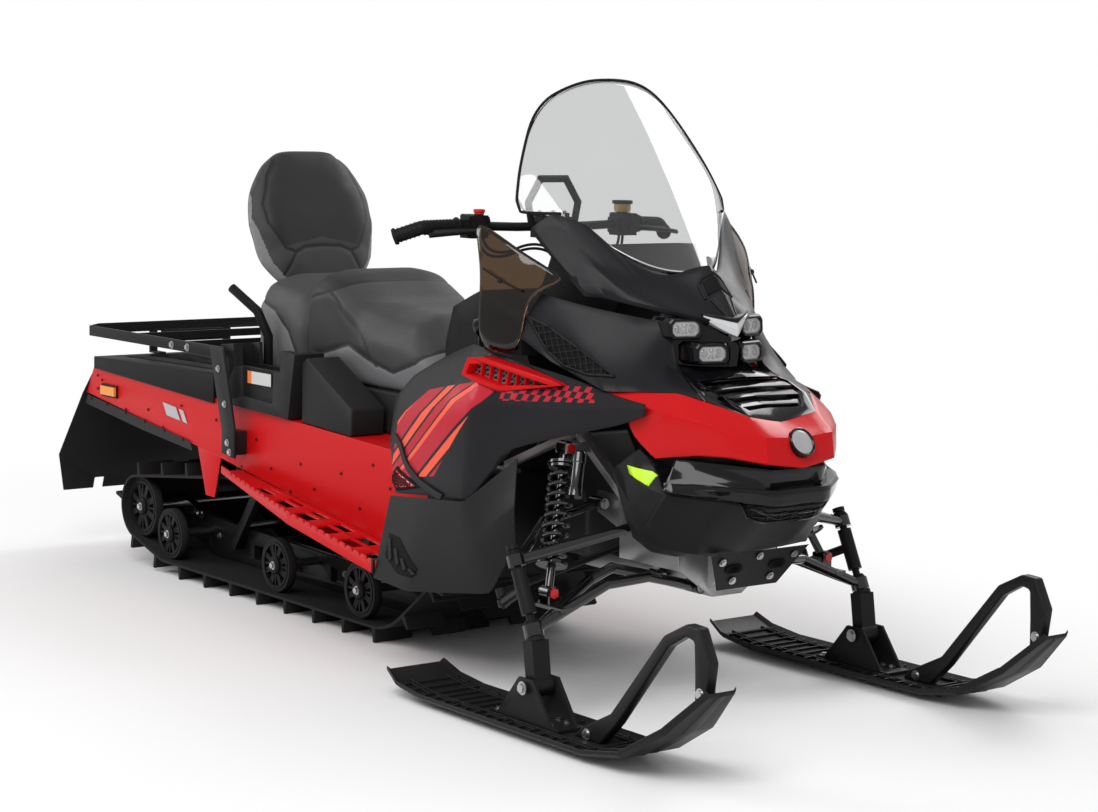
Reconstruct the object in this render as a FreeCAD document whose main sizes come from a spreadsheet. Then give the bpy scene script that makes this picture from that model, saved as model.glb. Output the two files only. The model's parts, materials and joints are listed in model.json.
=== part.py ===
"""Wide-track two-up utility snowmobile, built as separate parts around one lengthwise frame.

Every length is in millimetres. X points forward, Y to the rider's left and Z up. Stations are measured
from the front axle line, and each part's Placement moves it so that the origin lies under the middle.
"""

import FreeCAD, Part

import math
import os
import re
from types import SimpleNamespace

import Sketcher

DOCUMENT = FreeCAD.newDocument("Snowmobile")
SHEET = DOCUMENT.addObject("Spreadsheet::Sheet", "Sizes")

SIZES = (
    ("origin_shift", 1017.5, "front axle line ahead of the origin"),
    ("seat_gap", 0.3, "gap between two pieces that rest on each other"),
    ("panel_gauge", 6, "body panel"),
    ("stance_half", 504, "centre of one ski from the middle"),
    ("belt_width", 610, "track belt"),
    ("belt_gauge", 8, "track belt thickness"),
    ("lug_height", 36, "track lug above the belt"),
    ("lug_root", 16, "track lug along the belt at its root"),
    ("lug_tip", 9, "track lug along the belt at its tip"),
    ("lug_pitch", 72.6, "one row of lugs to the next"),
    ("idler_back", 2234, "rear idler axle behind the front axle line"),
    ("idler_up", 179, "rear idler axle height"),
    ("idler_radius", 89, "rear idler wheel"),
    ("bogie_radius", 75, "bogie wheel"),
    ("bogie_rear_back", 2066, "rearmost bogie axle"),
    ("bogie_mid_back", 1464, "middle bogie axle"),
    ("bogie_front_back", 1040, "front bogie axle"),
    ("wheel_width", 22, "width of a suspension wheel"),
    ("wheel_offset", 272, "middle of an outer wheel from the middle of the track"),
    ("axle_radius", 12, "suspension axle"),
    ("bore_play", 0.05, "radial play of a bore on its shaft"),
    ("rail_offset", 130, "middle of a rail from the middle of the track"),
    ("rail_gauge", 22, "thickness of a rail"),
    ("rail_height", 80, "height of a rail"),
    ("nose_radius", 210, "bend of the belt round the rail tips"),
    ("nose_back", 950, "centre of the rail tip bend behind the front axle line"),
    ("sprocket_back", 590, "drive axle behind the front axle line"),
    ("sprocket_up", 372, "drive axle height"),
    ("sprocket_radius", 84, "drive sprocket at the belt"),
    ("sprocket_width", 36, "width of a drive sprocket"),
    ("rear_arm_back", 1737, "pivot of the rear track arm"),
    ("rear_arm_up", 301, "height of that pivot"),
    ("rear_foot_back", 1890, "foot of the rear track arm"),
    ("front_arm_back", 1110, "pivot of the front track arm"),
    ("front_arm_up", 345, "height of that pivot"),
    ("front_foot_back", 1240, "foot of the front track arm"),
    ("arm_foot_up", 98, "height of both arm feet"),
    ("tunnel_half", 335, "outer face of the tunnel from the middle"),
    ("tunnel_gauge", 4, "tunnel sheet"),
    ("tunnel_rear_back", 2440, "rear edge of the tunnel top"),
    ("tunnel_rear_up", 596, "tunnel top at the rear"),
    ("tunnel_front_back", 420, "front edge of the tunnel"),
    ("tunnel_front_up", 500, "tunnel top at the front"),
    ("board_front_half", 500, "outer edge of a running board at the front"),
    ("board_rear_half", 400, "outer edge of a running board at the rear"),
    ("board_front_back", 645, "front end of a running board's tread"),
    ("board_rear_back", 1560, "rear end of a running board"),
    ("board_front_up", 246, "running board surface at the front"),
    ("board_rear_up", 372, "running board surface at the rear"),
    ("board_gauge", 5, "running board sheet"),
    ("board_lip", 34, "edge of a running board"),
    ("toe_half", 436, "outer edge of the toe board"),
    ("toe_back", 440, "toe wall behind the front axle line"),
    ("deck_rear_rise", 21, "rear deck above the tunnel top at its rear"),
    ("deck_front_rise", 67, "rear deck above the tunnel top at its front"),
    ("deck_half", 341, "half width of the rear deck"),
    ("deck_skirt", 16, "edge of the deck below the tunnel top"),
    ("rack_up", 714, "top edge of the rack"),
    ("rack_half", 372, "outer face of the rack from the middle"),
    ("rack_rear_back", 2462, "rear face of the rack"),
    ("rack_front_back", 1600, "front end of the rack"),
    ("rack_band", 30, "height of the rack's flat bar"),
    ("rack_gauge", 8, "thickness of the rack's flat bar"),
    ("post_half", 141, "outer face of a rack post from the middle"),
    ("flap_half", 345, "half width of the snow flap"),
    ("flap_gauge", 6, "snow flap rubber"),
    ("flap_low", 180, "lower edge of the snow flap"),
    ("seat_half", 205, "half width of the seats"),
    ("seat_rear_back", 1700, "rear end of the seats"),
    ("seat_split_back", 1443, "split between the two seats"),
    ("cushion_up", 640, "underside of the seats"),
    ("backrest_up", 1246, "top of the backrest"),
    ("backrest_low", 902.4, "lower end of the backrest"),
    ("holder_half", 350, "outer face of a box holder from the middle"),
    ("ski_half", 95, "half width of a ski"),
    ("ski_gauge", 10, "thickness of a ski's sole"),
    ("ski_keel", 12, "depth of a ski's keel"),
    ("ski_bolt_up", 103, "ski bolt height"),
    ("ski_bolt_ahead", 32, "ski bolt ahead of the front axle line"),
    ("ski_bolt_radius", 8, "ski bolt"),
    ("kingpin_lower_up", 223, "lower ball joint height"),
    ("kingpin_lower_ahead", 8, "lower ball joint ahead of the front axle line"),
    ("kingpin_upper_up", 369, "upper ball joint height"),
    ("kingpin_upper_back", 60, "upper ball joint behind the front axle line"),
    ("kingpin_radius", 9, "ball joint stud"),
    ("steer_arm_back", 150, "tie rod pin behind the front axle line"),
    ("steer_arm_in", 34, "tie rod pin inward of the ball joints"),
    ("steer_arm_up", 255, "tie rod pin height"),
    ("tie_pin_radius", 6, "tie rod pin"),
    ("arm_tube_radius", 12, "suspension arm tube"),
    ("barrel_radius", 16, "pivot barrel of a suspension arm"),
    ("barrel_length", 44, "length of that barrel"),
    ("spring_radius", 34, "shock spring"),
    ("shock_top_half", 300, "shock's upper eye from the middle"),
    ("shock_top_up", 600, "shock's upper eye height"),
    ("shock_top_back", 150, "shock's upper eye behind the front axle line"),
    ("shock_low_half", 424, "shock's lower eye from the middle"),
    ("shock_low_up", 292, "shock's lower eye height"),
    ("shock_low_back", 44, "shock's lower eye behind the front axle line"),
    ("eye_radius", 16, "shock eye"),
    ("eye_width", 30, "width of a shock eye"),
    ("shock_pin_radius", 8, "bolt through a shock eye"),
    ("tab_gauge", 6, "tab on each side of a shock eye"),
    ("bar_radius", 11, "handlebar tube"),
    ("bar_half", 425, "handlebar grip end from the middle"),
    ("bar_up", 1085, "handlebar height"),
    ("bar_back", 605, "handlebar behind the front axle line"),
    ("hoop_rise", 127, "top of the grab hoop above the handlebar"),
    ("column_foot_back", 120, "foot of the steering column"),
    ("column_foot_up", 400, "height of that foot"),
    ("column_radius", 15, "steering column"),
    ("pitman_reach", 125, "pitman arm"),
    ("collar_back", 400, "steering collar behind the front axle line"),
    ("collar_radius", 28, "steering collar"),
    ("frame_half", 150, "outer face of the front frame from the middle"),
    ("frame_gauge", 6, "front frame plate"),
    ("frame_front", 84, "front face of the front frame"),
    ("frame_rear_back", 130, "rear face of the front frame"),
    ("frame_low", 332, "floor of the front frame"),
    ("frame_top", 480, "upper edge of the front frame"),
    ("keel_half", 45, "half width of the front frame's keel"),
    ("keel_low", 262, "underside of the keel"),
    ("cradle_up", 305, "top of the beam under the engine"),
    ("engine_half", 125, "half width of the engine"),
    ("bumper_ahead", 330, "bumper ahead of the front axle line"),
    ("bumper_depth", 30, "depth of the bumper"),
    ("centre_half", 188, "seam between the centre and side panels of the nose"),
    ("panel_seam", 0.6, "gap between two body panels"),
    ("screen_gauge", 4, "windshield"),
    ("screen_up", 1449, "top of the windshield"),
)

for row, (alias, value, note) in enumerate(SIZES, start=1):
    SHEET.set(f"A{row}", note)
    SHEET.set(f"B{row}", str(value))
    SHEET.setAlias(f"B{row}", alias)
DOCUMENT.recompute()
S = SimpleNamespace(**{alias: float(getattr(SHEET, alias)) for alias, value, note in SIZES})

PARTS = []


# Helpers for shapes

def vec(across, along=0.0, up=0.0):
    return FreeCAD.Vector(across, along, up)


def closed_wire(points):
    corners = [vec(*point) for point in points]
    return Part.makePolygon(corners + corners[:1])


def side_plate(outline, inner, outer):
    """Extrude a side-view outline of (x, z) corners from y = inner to y = outer."""
    face = Part.Face(closed_wire([(x, inner, z) for x, z in outline]))
    return face.extrude(vec(0, outer - inner, 0))


def front_plate(outline, rear, front):
    """Extrude a front-view outline of (y, z) corners from x = rear to x = front."""
    face = Part.Face(closed_wire([(rear, y, z) for y, z in outline]))
    return face.extrude(vec(front - rear, 0, 0))


def block(x, y, z):
    """Box between pairs of limits along each axis."""
    return Part.makeBox(x[1] - x[0], y[1] - y[0], z[1] - z[0], vec(x[0], y[0], z[0]))


def facets(a, b, c, d):
    """One flat face through four corners, or two triangles where they do not lie flat."""
    normal = (b - a).cross(c - a)
    if normal.Length > 1e-9 and abs(normal.normalize().dot(d - a)) < 1e-4:
        return [Part.Face(Part.makePolygon([a, b, c, d, a]))]
    return [Part.Face(Part.makePolygon(loop)) for loop in ([a, b, c, a], [a, c, d, a])]


def closed_solid(faces):
    shell = Part.makeShell(faces)
    shell.sewShape()
    solid = Part.makeSolid(shell)
    if solid.Volume < 0:
        solid.reverse()
    return solid.removeSplitter()


def facet_loft(sections):
    """Solid with flat facets between closed sections that have equally many corners."""
    rings = [[vec(*point) for point in section] for section in sections]
    faces = [Part.Face(Part.makePolygon(ring + ring[:1])) for ring in (rings[0], rings[-1])]
    for first, second in zip(rings, rings[1:]):
        for index in range(len(first)):
            after = (index + 1) % len(first)
            faces += facets(first[index], first[after], second[after], second[index])
    return closed_solid(faces)


def skin(rows, inward):
    """Thin faceted panel: rows of corner points on its outer side, moved by inward for its inner side."""
    outer = [[vec(*point) for point in row] for row in rows]
    shift = vec(*inward)
    inner = [[point + shift for point in row] for row in outer]
    faces = []
    for low, high in zip(range(len(outer)), range(1, len(outer))):
        for index in range(len(outer[0]) - 1):
            for grid in (outer, inner):
                a, b, c, d = grid[low][index], grid[low][index + 1], grid[high][index + 1], grid[high][index]
                faces += [Part.Face(Part.makePolygon(loop)) for loop in ([a, b, c, a], [a, c, d, a])]
    rims = [(outer[0], inner[0]), (outer[-1], inner[-1])]
    rims += [([row[end] for row in outer], [row[end] for row in inner]) for end in (0, -1)]
    for edge, back in rims:
        for index in range(len(edge) - 1):
            faces += facets(edge[index], edge[index + 1], back[index + 1], back[index])
    return closed_solid(faces)


def both_sides(rows):
    """Rows of (y, (x, z), ...) from the middle outwards, made into rows right across the vehicle."""
    left = [[(x, row[0], z) for x, z in row[1:]] for row in rows]
    right = [[(x, -row[0], z) for x, z in row[1:]] for row in reversed(rows) if row[0] > 0]
    return right + left


def one_side(rows):
    return [[(x, row[0], z) for x, z in row[1:]] for row in rows]


def mirrored(shape):
    return shape.mirror(vec(0), vec(0, 1, 0))


def pair(shape):
    """The same piece on both sides, as solids that do not touch."""
    return Part.makeCompound([shape, mirrored(shape)])


def rod(start, end, radius):
    begin = vec(*start)
    run = vec(*end) - begin
    return Part.makeCylinder(radius, run.Length, begin, run)


def tube(points, radius):
    """Round bar through the points with mitred bends."""
    corners = [vec(*point) for point in points]
    ring = Part.Wire(Part.makeCircle(radius, corners[0], corners[1] - corners[0]))
    return Part.makePolygon(corners).makePipeShell([ring], True, True, 1)


def fused(pieces):
    pieces = list(pieces)
    return pieces[0].multiFuse(pieces[1:]).removeSplitter() if len(pieces) > 1 else pieces[0]


def bar(start, end, width, height):
    """A square-edged bar from start to end, width across the vehicle."""
    begin, finish = vec(*start), vec(*end)
    run = finish - begin
    side = vec(0, 1, 0).cross(run)
    if side.Length < 1e-6:
        side = vec(0, 0, 1)
    side.normalize()
    across = run.cross(side)
    across.normalize()
    corner = begin - side * (height / 2) - across * (width / 2)
    loop = [corner, corner + side * height, corner + side * height + across * width, corner + across * width]
    return Part.Face(Part.makePolygon(loop + loop[:1])).extrude(run)


def blend(low, high, share):
    return low + (high - low) * share


def along(path, x):
    """Height of a polyline of (x, z) corners at a station."""
    corners = sorted(path)
    for (x1, z1), (x2, z2) in zip(corners, corners[1:]):
        if x <= x2:
            return blend(z1, z2, (x - x1) / (x2 - x1))
    return corners[-1][1]


# Helpers for document objects

def bound(formula):
    """Point the size names in a formula at the sheet."""
    return re.sub(r"[a-z]+(?:_[a-z]+)+", lambda found: f"Sizes.{found.group(0)}", str(formula))


def keep(label, feature):
    """Count a document object as a part and place it in the vehicle's frame."""
    feature.Label = label
    feature.setExpression("Placement.Base.x", bound("origin_shift"))
    PARTS.append(feature)
    return feature


def add(label, shape):
    feature = DOCUMENT.addObject("Part::Feature", label)
    feature.Shape = shape
    return keep(label, feature)


def add_mirrored(label, source):
    """The same part on the other side."""
    feature = DOCUMENT.addObject("Part::Mirroring", label)
    feature.Source = source
    feature.Normal = vec(0, 1, 0)
    feature.Label = label
    PARTS.append(feature)
    return feature


def outline_sketch(body, name, corners, inner):
    """Closed side-view sketch at y = inner; each corner is a pair of formulas."""
    sketch = body.newObject("Sketcher::SketchObject", name)
    plane = next(item for item in body.Origin.OriginFeatures if item.Role == "XZ_Plane")
    sketch.AttachmentSupport = (plane, "")
    sketch.MapMode = "FlatFace"
    sketch.setExpression("AttachmentOffset.Base.z", bound(f"-({inner})"))
    count = len(corners)
    ring = [vec(100 * math.cos(turn), 100 * math.sin(turn))
            for turn in (2 * math.pi * index / count for index in range(count))]
    for index in range(count):
        sketch.addGeometry(Part.LineSegment(ring[index], ring[(index + 1) % count]), False)
    for index in range(count):
        sketch.addConstraint(Sketcher.Constraint("Coincident", index, 2, (index + 1) % count, 1))
    for index, formulas in enumerate(corners):
        spots = (("DistanceX", ring[index].x), ("DistanceY", ring[index].y))
        for (kind, start), formula in zip(spots, formulas):
            number = sketch.addConstraint(Sketcher.Constraint(kind, -1, 1, index, 1, start))
            sketch.setExpression(f"Constraints[{number}]", bound(formula))
    return sketch


def padded_body(label, corners, inner, outer):
    """Body padded from a side-view outline between two distances from the middle."""
    body = DOCUMENT.addObject("PartDesign::Body", label)
    sketch = outline_sketch(body, f"{label}_outline", corners, inner)
    pad = body.newObject("PartDesign::Pad", f"{label}_pad")
    pad.Profile = sketch
    pad.Reversed = True
    pad.setExpression("Length", bound(f"({outer}) - ({inner})"))
    return body


def pocket_body(body, name, corners, inner, outer):
    """Cut a side-view outline out of a body between two distances from the middle."""
    sketch = outline_sketch(body, f"{name}_outline", corners, inner)
    pocket = body.newObject("PartDesign::Pocket", name)
    pocket.Profile = sketch
    pocket.Reversed = False
    pocket.setExpression("Length", bound(f"({outer}) - ({inner})"))
    return pocket


def cross_cylinder(name, radius, half, back, up, middle="0"):
    """Cylinder along Y, centred on y = middle, with every size bound to the sheet."""
    drum = DOCUMENT.addObject("Part::Cylinder", name)
    drum.Placement = FreeCAD.Placement(vec(0), FreeCAD.Rotation(vec(1), -90))
    drum.setExpression("Radius", bound(radius))
    drum.setExpression("Height", bound(f"2 * ({half})"))
    drum.setExpression("Placement.Base.x", bound(f"-({back})"))
    drum.setExpression("Placement.Base.y", bound(f"({middle}) - ({half})"))
    drum.setExpression("Placement.Base.z", bound(up))
    return drum


def joined(kind, name, members):
    """Part::Compound or Part::MultiFuse of document objects."""
    feature = DOCUMENT.addObject(kind, name)
    setattr(feature, "Links" if kind == "Part::Compound" else "Shapes", members)
    return feature


# Track and its slide-rail suspension

BOGIE_BACKS = ("bogie_rear_back", "bogie_mid_back", "bogie_front_back")
BOGIE_UP = "lug_height + belt_gauge + bogie_radius"
BOGIE_HEIGHT = S.lug_height + S.belt_gauge + S.bogie_radius
AXLES = [("idler_back", "idler_up", "idler_radius")] + [(back, BOGIE_UP, "bogie_radius") for back in BOGIE_BACKS]
AXLE_PLACES = [(S.idler_back, S.idler_up)] + [(getattr(S, back), BOGIE_HEIGHT) for back in BOGIE_BACKS]
ARM_FEET = [(S.rear_foot_back, S.arm_foot_up), (S.front_foot_back, S.arm_foot_up)]
BELT_CIRCLES = (
    (-S.idler_back, S.idler_up, S.idler_radius),
    (-S.sprocket_back, S.sprocket_up, S.sprocket_radius),
    (-S.nose_back, S.lug_height + S.belt_gauge + S.nose_radius, S.nose_radius),
    (-S.bogie_rear_back, BOGIE_HEIGHT, S.bogie_radius),
)


def tangent_loop(circles, grow, half):
    """Belt line round circles of (x, z, radius), grown outwards, in the plane y = -half."""
    touch = []
    following = circles[1:] + circles[:1]
    for (x1, z1, r1), (x2, z2, r2) in zip(circles, following):
        r1, r2 = r1 + grow, r2 + grow
        dx, dz = x2 - x1, z2 - z1
        swing = math.atan2(dz, dx) + math.acos((r1 - r2) / math.hypot(dx, dz))
        normal = (math.cos(swing), math.sin(swing))
        touch.append(((x1 + r1 * normal[0], z1 + r1 * normal[1]), (x2 + r2 * normal[0], z2 + r2 * normal[1])))
    edges = []
    for (leave, arrive), (away, _), (x, z, radius) in zip(touch, touch[1:] + touch[:1], following):
        radius += grow
        begin = math.atan2(arrive[1] - z, arrive[0] - x)
        finish = math.atan2(away[1] - z, away[0] - x)
        middle = begin - ((begin - finish) % (2 * math.pi)) / 2
        start, stop = vec(arrive[0], -half, arrive[1]), vec(away[0], -half, away[1])
        crown = vec(x + radius * math.cos(middle), -half, z + radius * math.sin(middle))
        edges.append(Part.LineSegment(vec(leave[0], -half, leave[1]), start).toShape())
        edges.append(Part.Arc(start, crown, stop).toShape())
    return Part.Wire(edges)


def make_track():
    """Endless belt with staggered rows of tapered lugs."""
    half = S.belt_width / 2
    inner = tangent_loop(BELT_CIRCLES, S.seat_gap, half)
    outer = tangent_loop(BELT_CIRCLES, S.belt_gauge, half)
    belt = Part.Face(outer).extrude(vec(0, 2 * half, 0)).cut(Part.Face(inner).extrude(vec(0, 2 * half, 0)))
    rows = 2 * round(outer.Length / (2 * S.lug_pitch))
    step = outer.Length / rows
    lanes = (
        ((-half, -half * 0.62), (-half * 0.2, half * 0.2), (half * 0.62, half)),
        ((-half * 0.58, -half * 0.24), (half * 0.24, half * 0.58)),
    )
    edges = outer.OrderedEdges
    starts = [0.0]
    for edge in edges:
        starts.append(starts[-1] + edge.Length)
    inside = vec(-(S.idler_back + S.sprocket_back) / 2, 0, S.idler_up + 60)
    sink = S.belt_gauge / 3
    lugs = []
    for row in range(rows):
        reach = (row + 0.35) * step
        number = max(index for index in range(len(edges)) if starts[index] <= reach)
        spot = edges[number].getParameterByLength(reach - starts[number])
        point = edges[number].valueAt(spot)
        forward = edges[number].tangentAt(spot)
        out = vec(0, 1, 0).cross(forward)
        if out.dot(point - inside) < 0:
            out = out * -1
        for low, high in lanes[row % 2]:
            root = vec(point.x, low, point.z) - out * sink
            tip = vec(point.x, low, point.z) + out * S.lug_height
            foot = [root - forward * (S.lug_root / 2), root + forward * (S.lug_root / 2),
                    tip + forward * (S.lug_tip / 2), tip - forward * (S.lug_tip / 2)]
            lugs.append(Part.Face(Part.makePolygon(foot + foot[:1])).extrude(vec(0, high - low, 0)))
    return belt.multiFuse(lugs)


def make_wheel(back, up, radius, middle):
    """Spoked wheel with a bore for its axle."""
    half, windows = S.wheel_width / 2, 8
    wheel = Part.makeCylinder(radius, 2 * half, vec(-back, middle - half, up), vec(0, 1, 0))
    gaps = [Part.makeCylinder(S.axle_radius + S.bore_play, 2 * half, vec(-back, middle - half, up), vec(0, 1, 0))]
    for index in range(windows):
        turn = 2 * math.pi * index / windows
        corners = []
        for reach, spread in ((0.4, 0.16), (0.4, -0.16), (0.78, -0.28), (0.78, 0.28)):
            angle = turn + spread
            corners.append((-back + radius * reach * math.cos(angle), up + radius * reach * math.sin(angle)))
        gaps.append(side_plate(corners, middle - half, middle + half))
    return wheel.cut(gaps)


def make_wheels():
    wheels = []
    for side in (-1, 1):
        middle = side * S.wheel_offset
        wheels.append(make_wheel(S.idler_back, S.idler_up, S.idler_radius, middle))
        for back in BOGIE_BACKS:
            wheels.append(make_wheel(getattr(S, back), BOGIE_HEIGHT, S.bogie_radius, middle))
    return Part.makeCompound(wheels)


def make_rails():
    """Two slide rails, each bent up at the front to follow the belt, with lightening windows."""
    bottom = S.lug_height + S.belt_gauge + S.seat_gap + 0.3
    tall, rear_tall = S.rail_height, S.rail_height + 34
    nose_x, nose_z, bend = -S.nose_back, S.lug_height + S.belt_gauge + S.nose_radius, S.nose_radius - 0.6
    low_turn, tip_turn = math.radians(-64), math.radians(-38)
    rear = -S.idler_back - 60
    last = -S.bogie_rear_back
    rails = []
    for side in (-1, 1):
        near = side * S.rail_offset - S.rail_gauge / 2

        def at(radius, angle):
            return vec(nose_x + radius * math.cos(angle), near, nose_z + radius * math.sin(angle))

        lower_front, upper_front = vec(nose_x, near, bottom), vec(nose_x, near, bottom + tall)
        corners = [upper_front, vec(last, near, bottom + rear_tall), vec(rear, near, S.idler_up + 26),
                   vec(rear, near, S.idler_up - 24), vec(last, near, bottom), lower_front]
        edges = [Part.LineSegment(a, b).toShape() for a, b in zip(corners, corners[1:])]
        edges += [
            Part.Arc(lower_front, at(bend, low_turn), at(bend, tip_turn)).toShape(),
            Part.LineSegment(at(bend, tip_turn), at(bend - tall, tip_turn)).toShape(),
            Part.Arc(at(bend - tall, tip_turn), at(bend - tall, low_turn), upper_front).toShape(),
        ]
        rail = Part.Face(Part.Wire(edges)).extrude(vec(0, S.rail_gauge, 0))
        holes = [Part.makeCylinder(S.axle_radius + S.bore_play, S.rail_gauge, vec(-back, near, up), vec(0, 1, 0))
                 for back, up in AXLE_PLACES + ARM_FEET]
        for start, stop in ((S.bogie_mid_back + 90, S.rear_foot_back - 70), (S.front_foot_back + 60, S.bogie_mid_back - 60)):
            holes.append(block((-stop, -start), (near, near + S.rail_gauge), (bottom + 24, bottom + tall - 16)))
        rails.append(rail.cut(holes))
    return Part.makeCompound(rails)


def make_axles():
    """Four cross axles, as bound cylinders in one compound."""
    half = "wheel_offset + wheel_width / 2 + 6"
    drums = [cross_cylinder(f"axle_{number}", "axle_radius", half, back, up)
             for number, (back, up, radius) in enumerate(AXLES)]
    return joined("Part::Compound", "skid_axles", drums)


def make_skid_arms():
    """Swing arms that carry the rails: a pivot shaft in the tunnel, two side tubes and a shaft in the rails."""
    arms = []
    reach = S.tunnel_half - S.tunnel_gauge - S.seat_gap
    spread = S.rail_offset + 34
    places = (
        (S.rear_arm_back, S.rear_arm_up, S.rear_foot_back),
        (S.front_arm_back, S.front_arm_up, S.front_foot_back),
    )
    for back, up, foot_back in places:
        head, foot = (-back, up), (-foot_back, S.arm_foot_up)
        arms.append(fused([
            rod((head[0], -reach, head[1]), (head[0], reach, head[1]), S.axle_radius),
            rod((foot[0], -spread, foot[1]), (foot[0], spread, foot[1]), S.axle_radius),
            bar((head[0], -spread, head[1]), (foot[0], -spread, foot[1]), 20, 30),
            bar((head[0], spread, head[1]), (foot[0], spread, foot[1]), 20, 30),
        ]))
    return Part.makeCompound(arms)


def make_drive_axle():
    """Cross shaft with three toothed sprockets."""
    reach = S.tunnel_half - S.tunnel_gauge - S.seat_gap
    x, z = -S.sprocket_back, S.sprocket_up
    teeth = 9
    outline = []
    for tooth in range(teeth):
        for share, radius in ((0.0, 0.84), (0.3, 1.0), (0.5, 1.0), (0.8, 0.84)):
            turn = 2 * math.pi * (tooth + share) / teeth
            outline.append((x + S.sprocket_radius * radius * math.cos(turn),
                            z + S.sprocket_radius * radius * math.sin(turn)))
    sprockets = [side_plate(outline, middle - S.sprocket_width / 2, middle + S.sprocket_width / 2)
                 for middle in (-S.rail_offset - 30, 0, S.rail_offset + 30)]
    return fused([rod((x, -reach, z), (x, reach, z), 15)] + sprockets)


# Tunnel, running boards and the rear end

TUNNEL_FALL = "(tunnel_front_up - tunnel_rear_up) / (tunnel_rear_back - tunnel_front_back)"


def tunnel_line(station):
    """Formula for the height of the sloping tunnel top."""
    return f"tunnel_rear_up + ({station} + tunnel_rear_back) * {TUNNEL_FALL}"


def tunnel_top(x):
    fall = (S.tunnel_front_up - S.tunnel_rear_up) / (S.tunnel_rear_back - S.tunnel_front_back)
    return S.tunnel_rear_up + (x + S.tunnel_rear_back) * fall


def make_tunnel():
    """Folded sheet over the track, closed at the front, with an ear each side for the rear track arm."""
    ear_low = "rear_arm_up - 22"
    outline = [
        ("-tunnel_rear_back", "tunnel_rear_up"),
        ("-tunnel_front_back", "tunnel_front_up"),
        ("-tunnel_front_back", "tunnel_front_up - 250"),
        ("-sprocket_back + 90", "tunnel_front_up - 250"),
        ("-sprocket_back - 223", "tunnel_front_up - 229"),
        ("-front_arm_back - 245", "front_arm_up + 4"),
        ("-rear_arm_back + 60", "rear_arm_up + 94"),
        ("-rear_arm_back + 24", ear_low),
        ("-rear_arm_back - 24", ear_low),
        ("-rear_arm_back - 70", "rear_arm_up + 112"),
        ("-tunnel_rear_back - 57", "tunnel_rear_up - 95"),
    ]
    body = padded_body("tunnel", outline, "-tunnel_half", "tunnel_half")
    hollow = [
        ("-tunnel_rear_back - 200", f"{tunnel_line('-tunnel_rear_back - 200')} - tunnel_gauge"),
        ("-tunnel_front_back - tunnel_gauge", f"{tunnel_line('-tunnel_front_back')} - tunnel_gauge"),
        ("-tunnel_front_back - tunnel_gauge", "100"),
        ("-tunnel_rear_back - 200", "100"),
    ]
    inside = "tunnel_half - tunnel_gauge"
    pocket_body(body, "track_space", hollow, f"-({inside})", inside)
    return body


def board_up(x):
    share = (x + S.board_front_back) / (S.board_front_back - S.board_rear_back)
    return blend(S.board_front_up, S.board_rear_up, share)


def make_board():
    """Left running board: sloping tread with see-through slots, a saw-toothed lip and a toe wall."""
    inner = S.tunnel_half + S.seat_gap
    front, rear, gauge = -S.board_front_back, -S.board_rear_back, S.board_gauge
    bend = (front + rear) / 2 + 25

    def section(x, outer, lip):
        up = board_up(x)
        return [(x, inner, up), (x, outer, up), (x, outer, up + lip), (x, outer - gauge, up + lip),
                (x, outer - gauge, up + gauge), (x, inner, up + gauge)]

    tread = facet_loft([
        section(front, S.board_front_half, S.board_lip),
        section(bend, (S.board_front_half + S.board_rear_half) / 2 + 30, S.board_lip),
        section(rear, S.board_rear_half, S.board_lip * 0.6),
    ])
    toe = facet_loft([
        [(x, inner, board_up(x)), (x, S.toe_half, board_up(x)), (x, S.toe_half, board_up(x) + gauge),
         (x, inner, board_up(x) + gauge)] for x in (-S.toe_back, front)
    ])
    wall = block((-S.toe_back - gauge, -S.toe_back), (inner, S.toe_half), (board_up(-S.toe_back), 430))
    slots = []
    pitch = 120
    for number in range(6):
        x = front - 70 - number * pitch
        outer = blend(S.board_front_half, S.board_rear_half, number / 7) - 34
        for low, high in ((inner + 18, (inner + outer) / 2 - 6), ((inner + outer) / 2 + 6, outer)):
            slots.append(block((x - 70, x), (low, high), (board_up(x) - 30, board_up(x) + 60)))
    notches = []
    for number in range(24):
        x = front - 30 - number * 35
        up = board_up(x) + blend(S.board_lip, S.board_lip * 0.6, max(0, bend - x) / (bend - rear))
        notches.append(side_plate([(x - 12, up + 6), (x + 12, up + 6), (x, up - 9)], inner + 40, S.board_front_half + 10))
    return fused([tread, toe, wall]).cut(slots + notches)


DECK_REAR = "-tunnel_rear_back + 4"
DECK_FRONT = "-seat_rear_back - 6"


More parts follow.
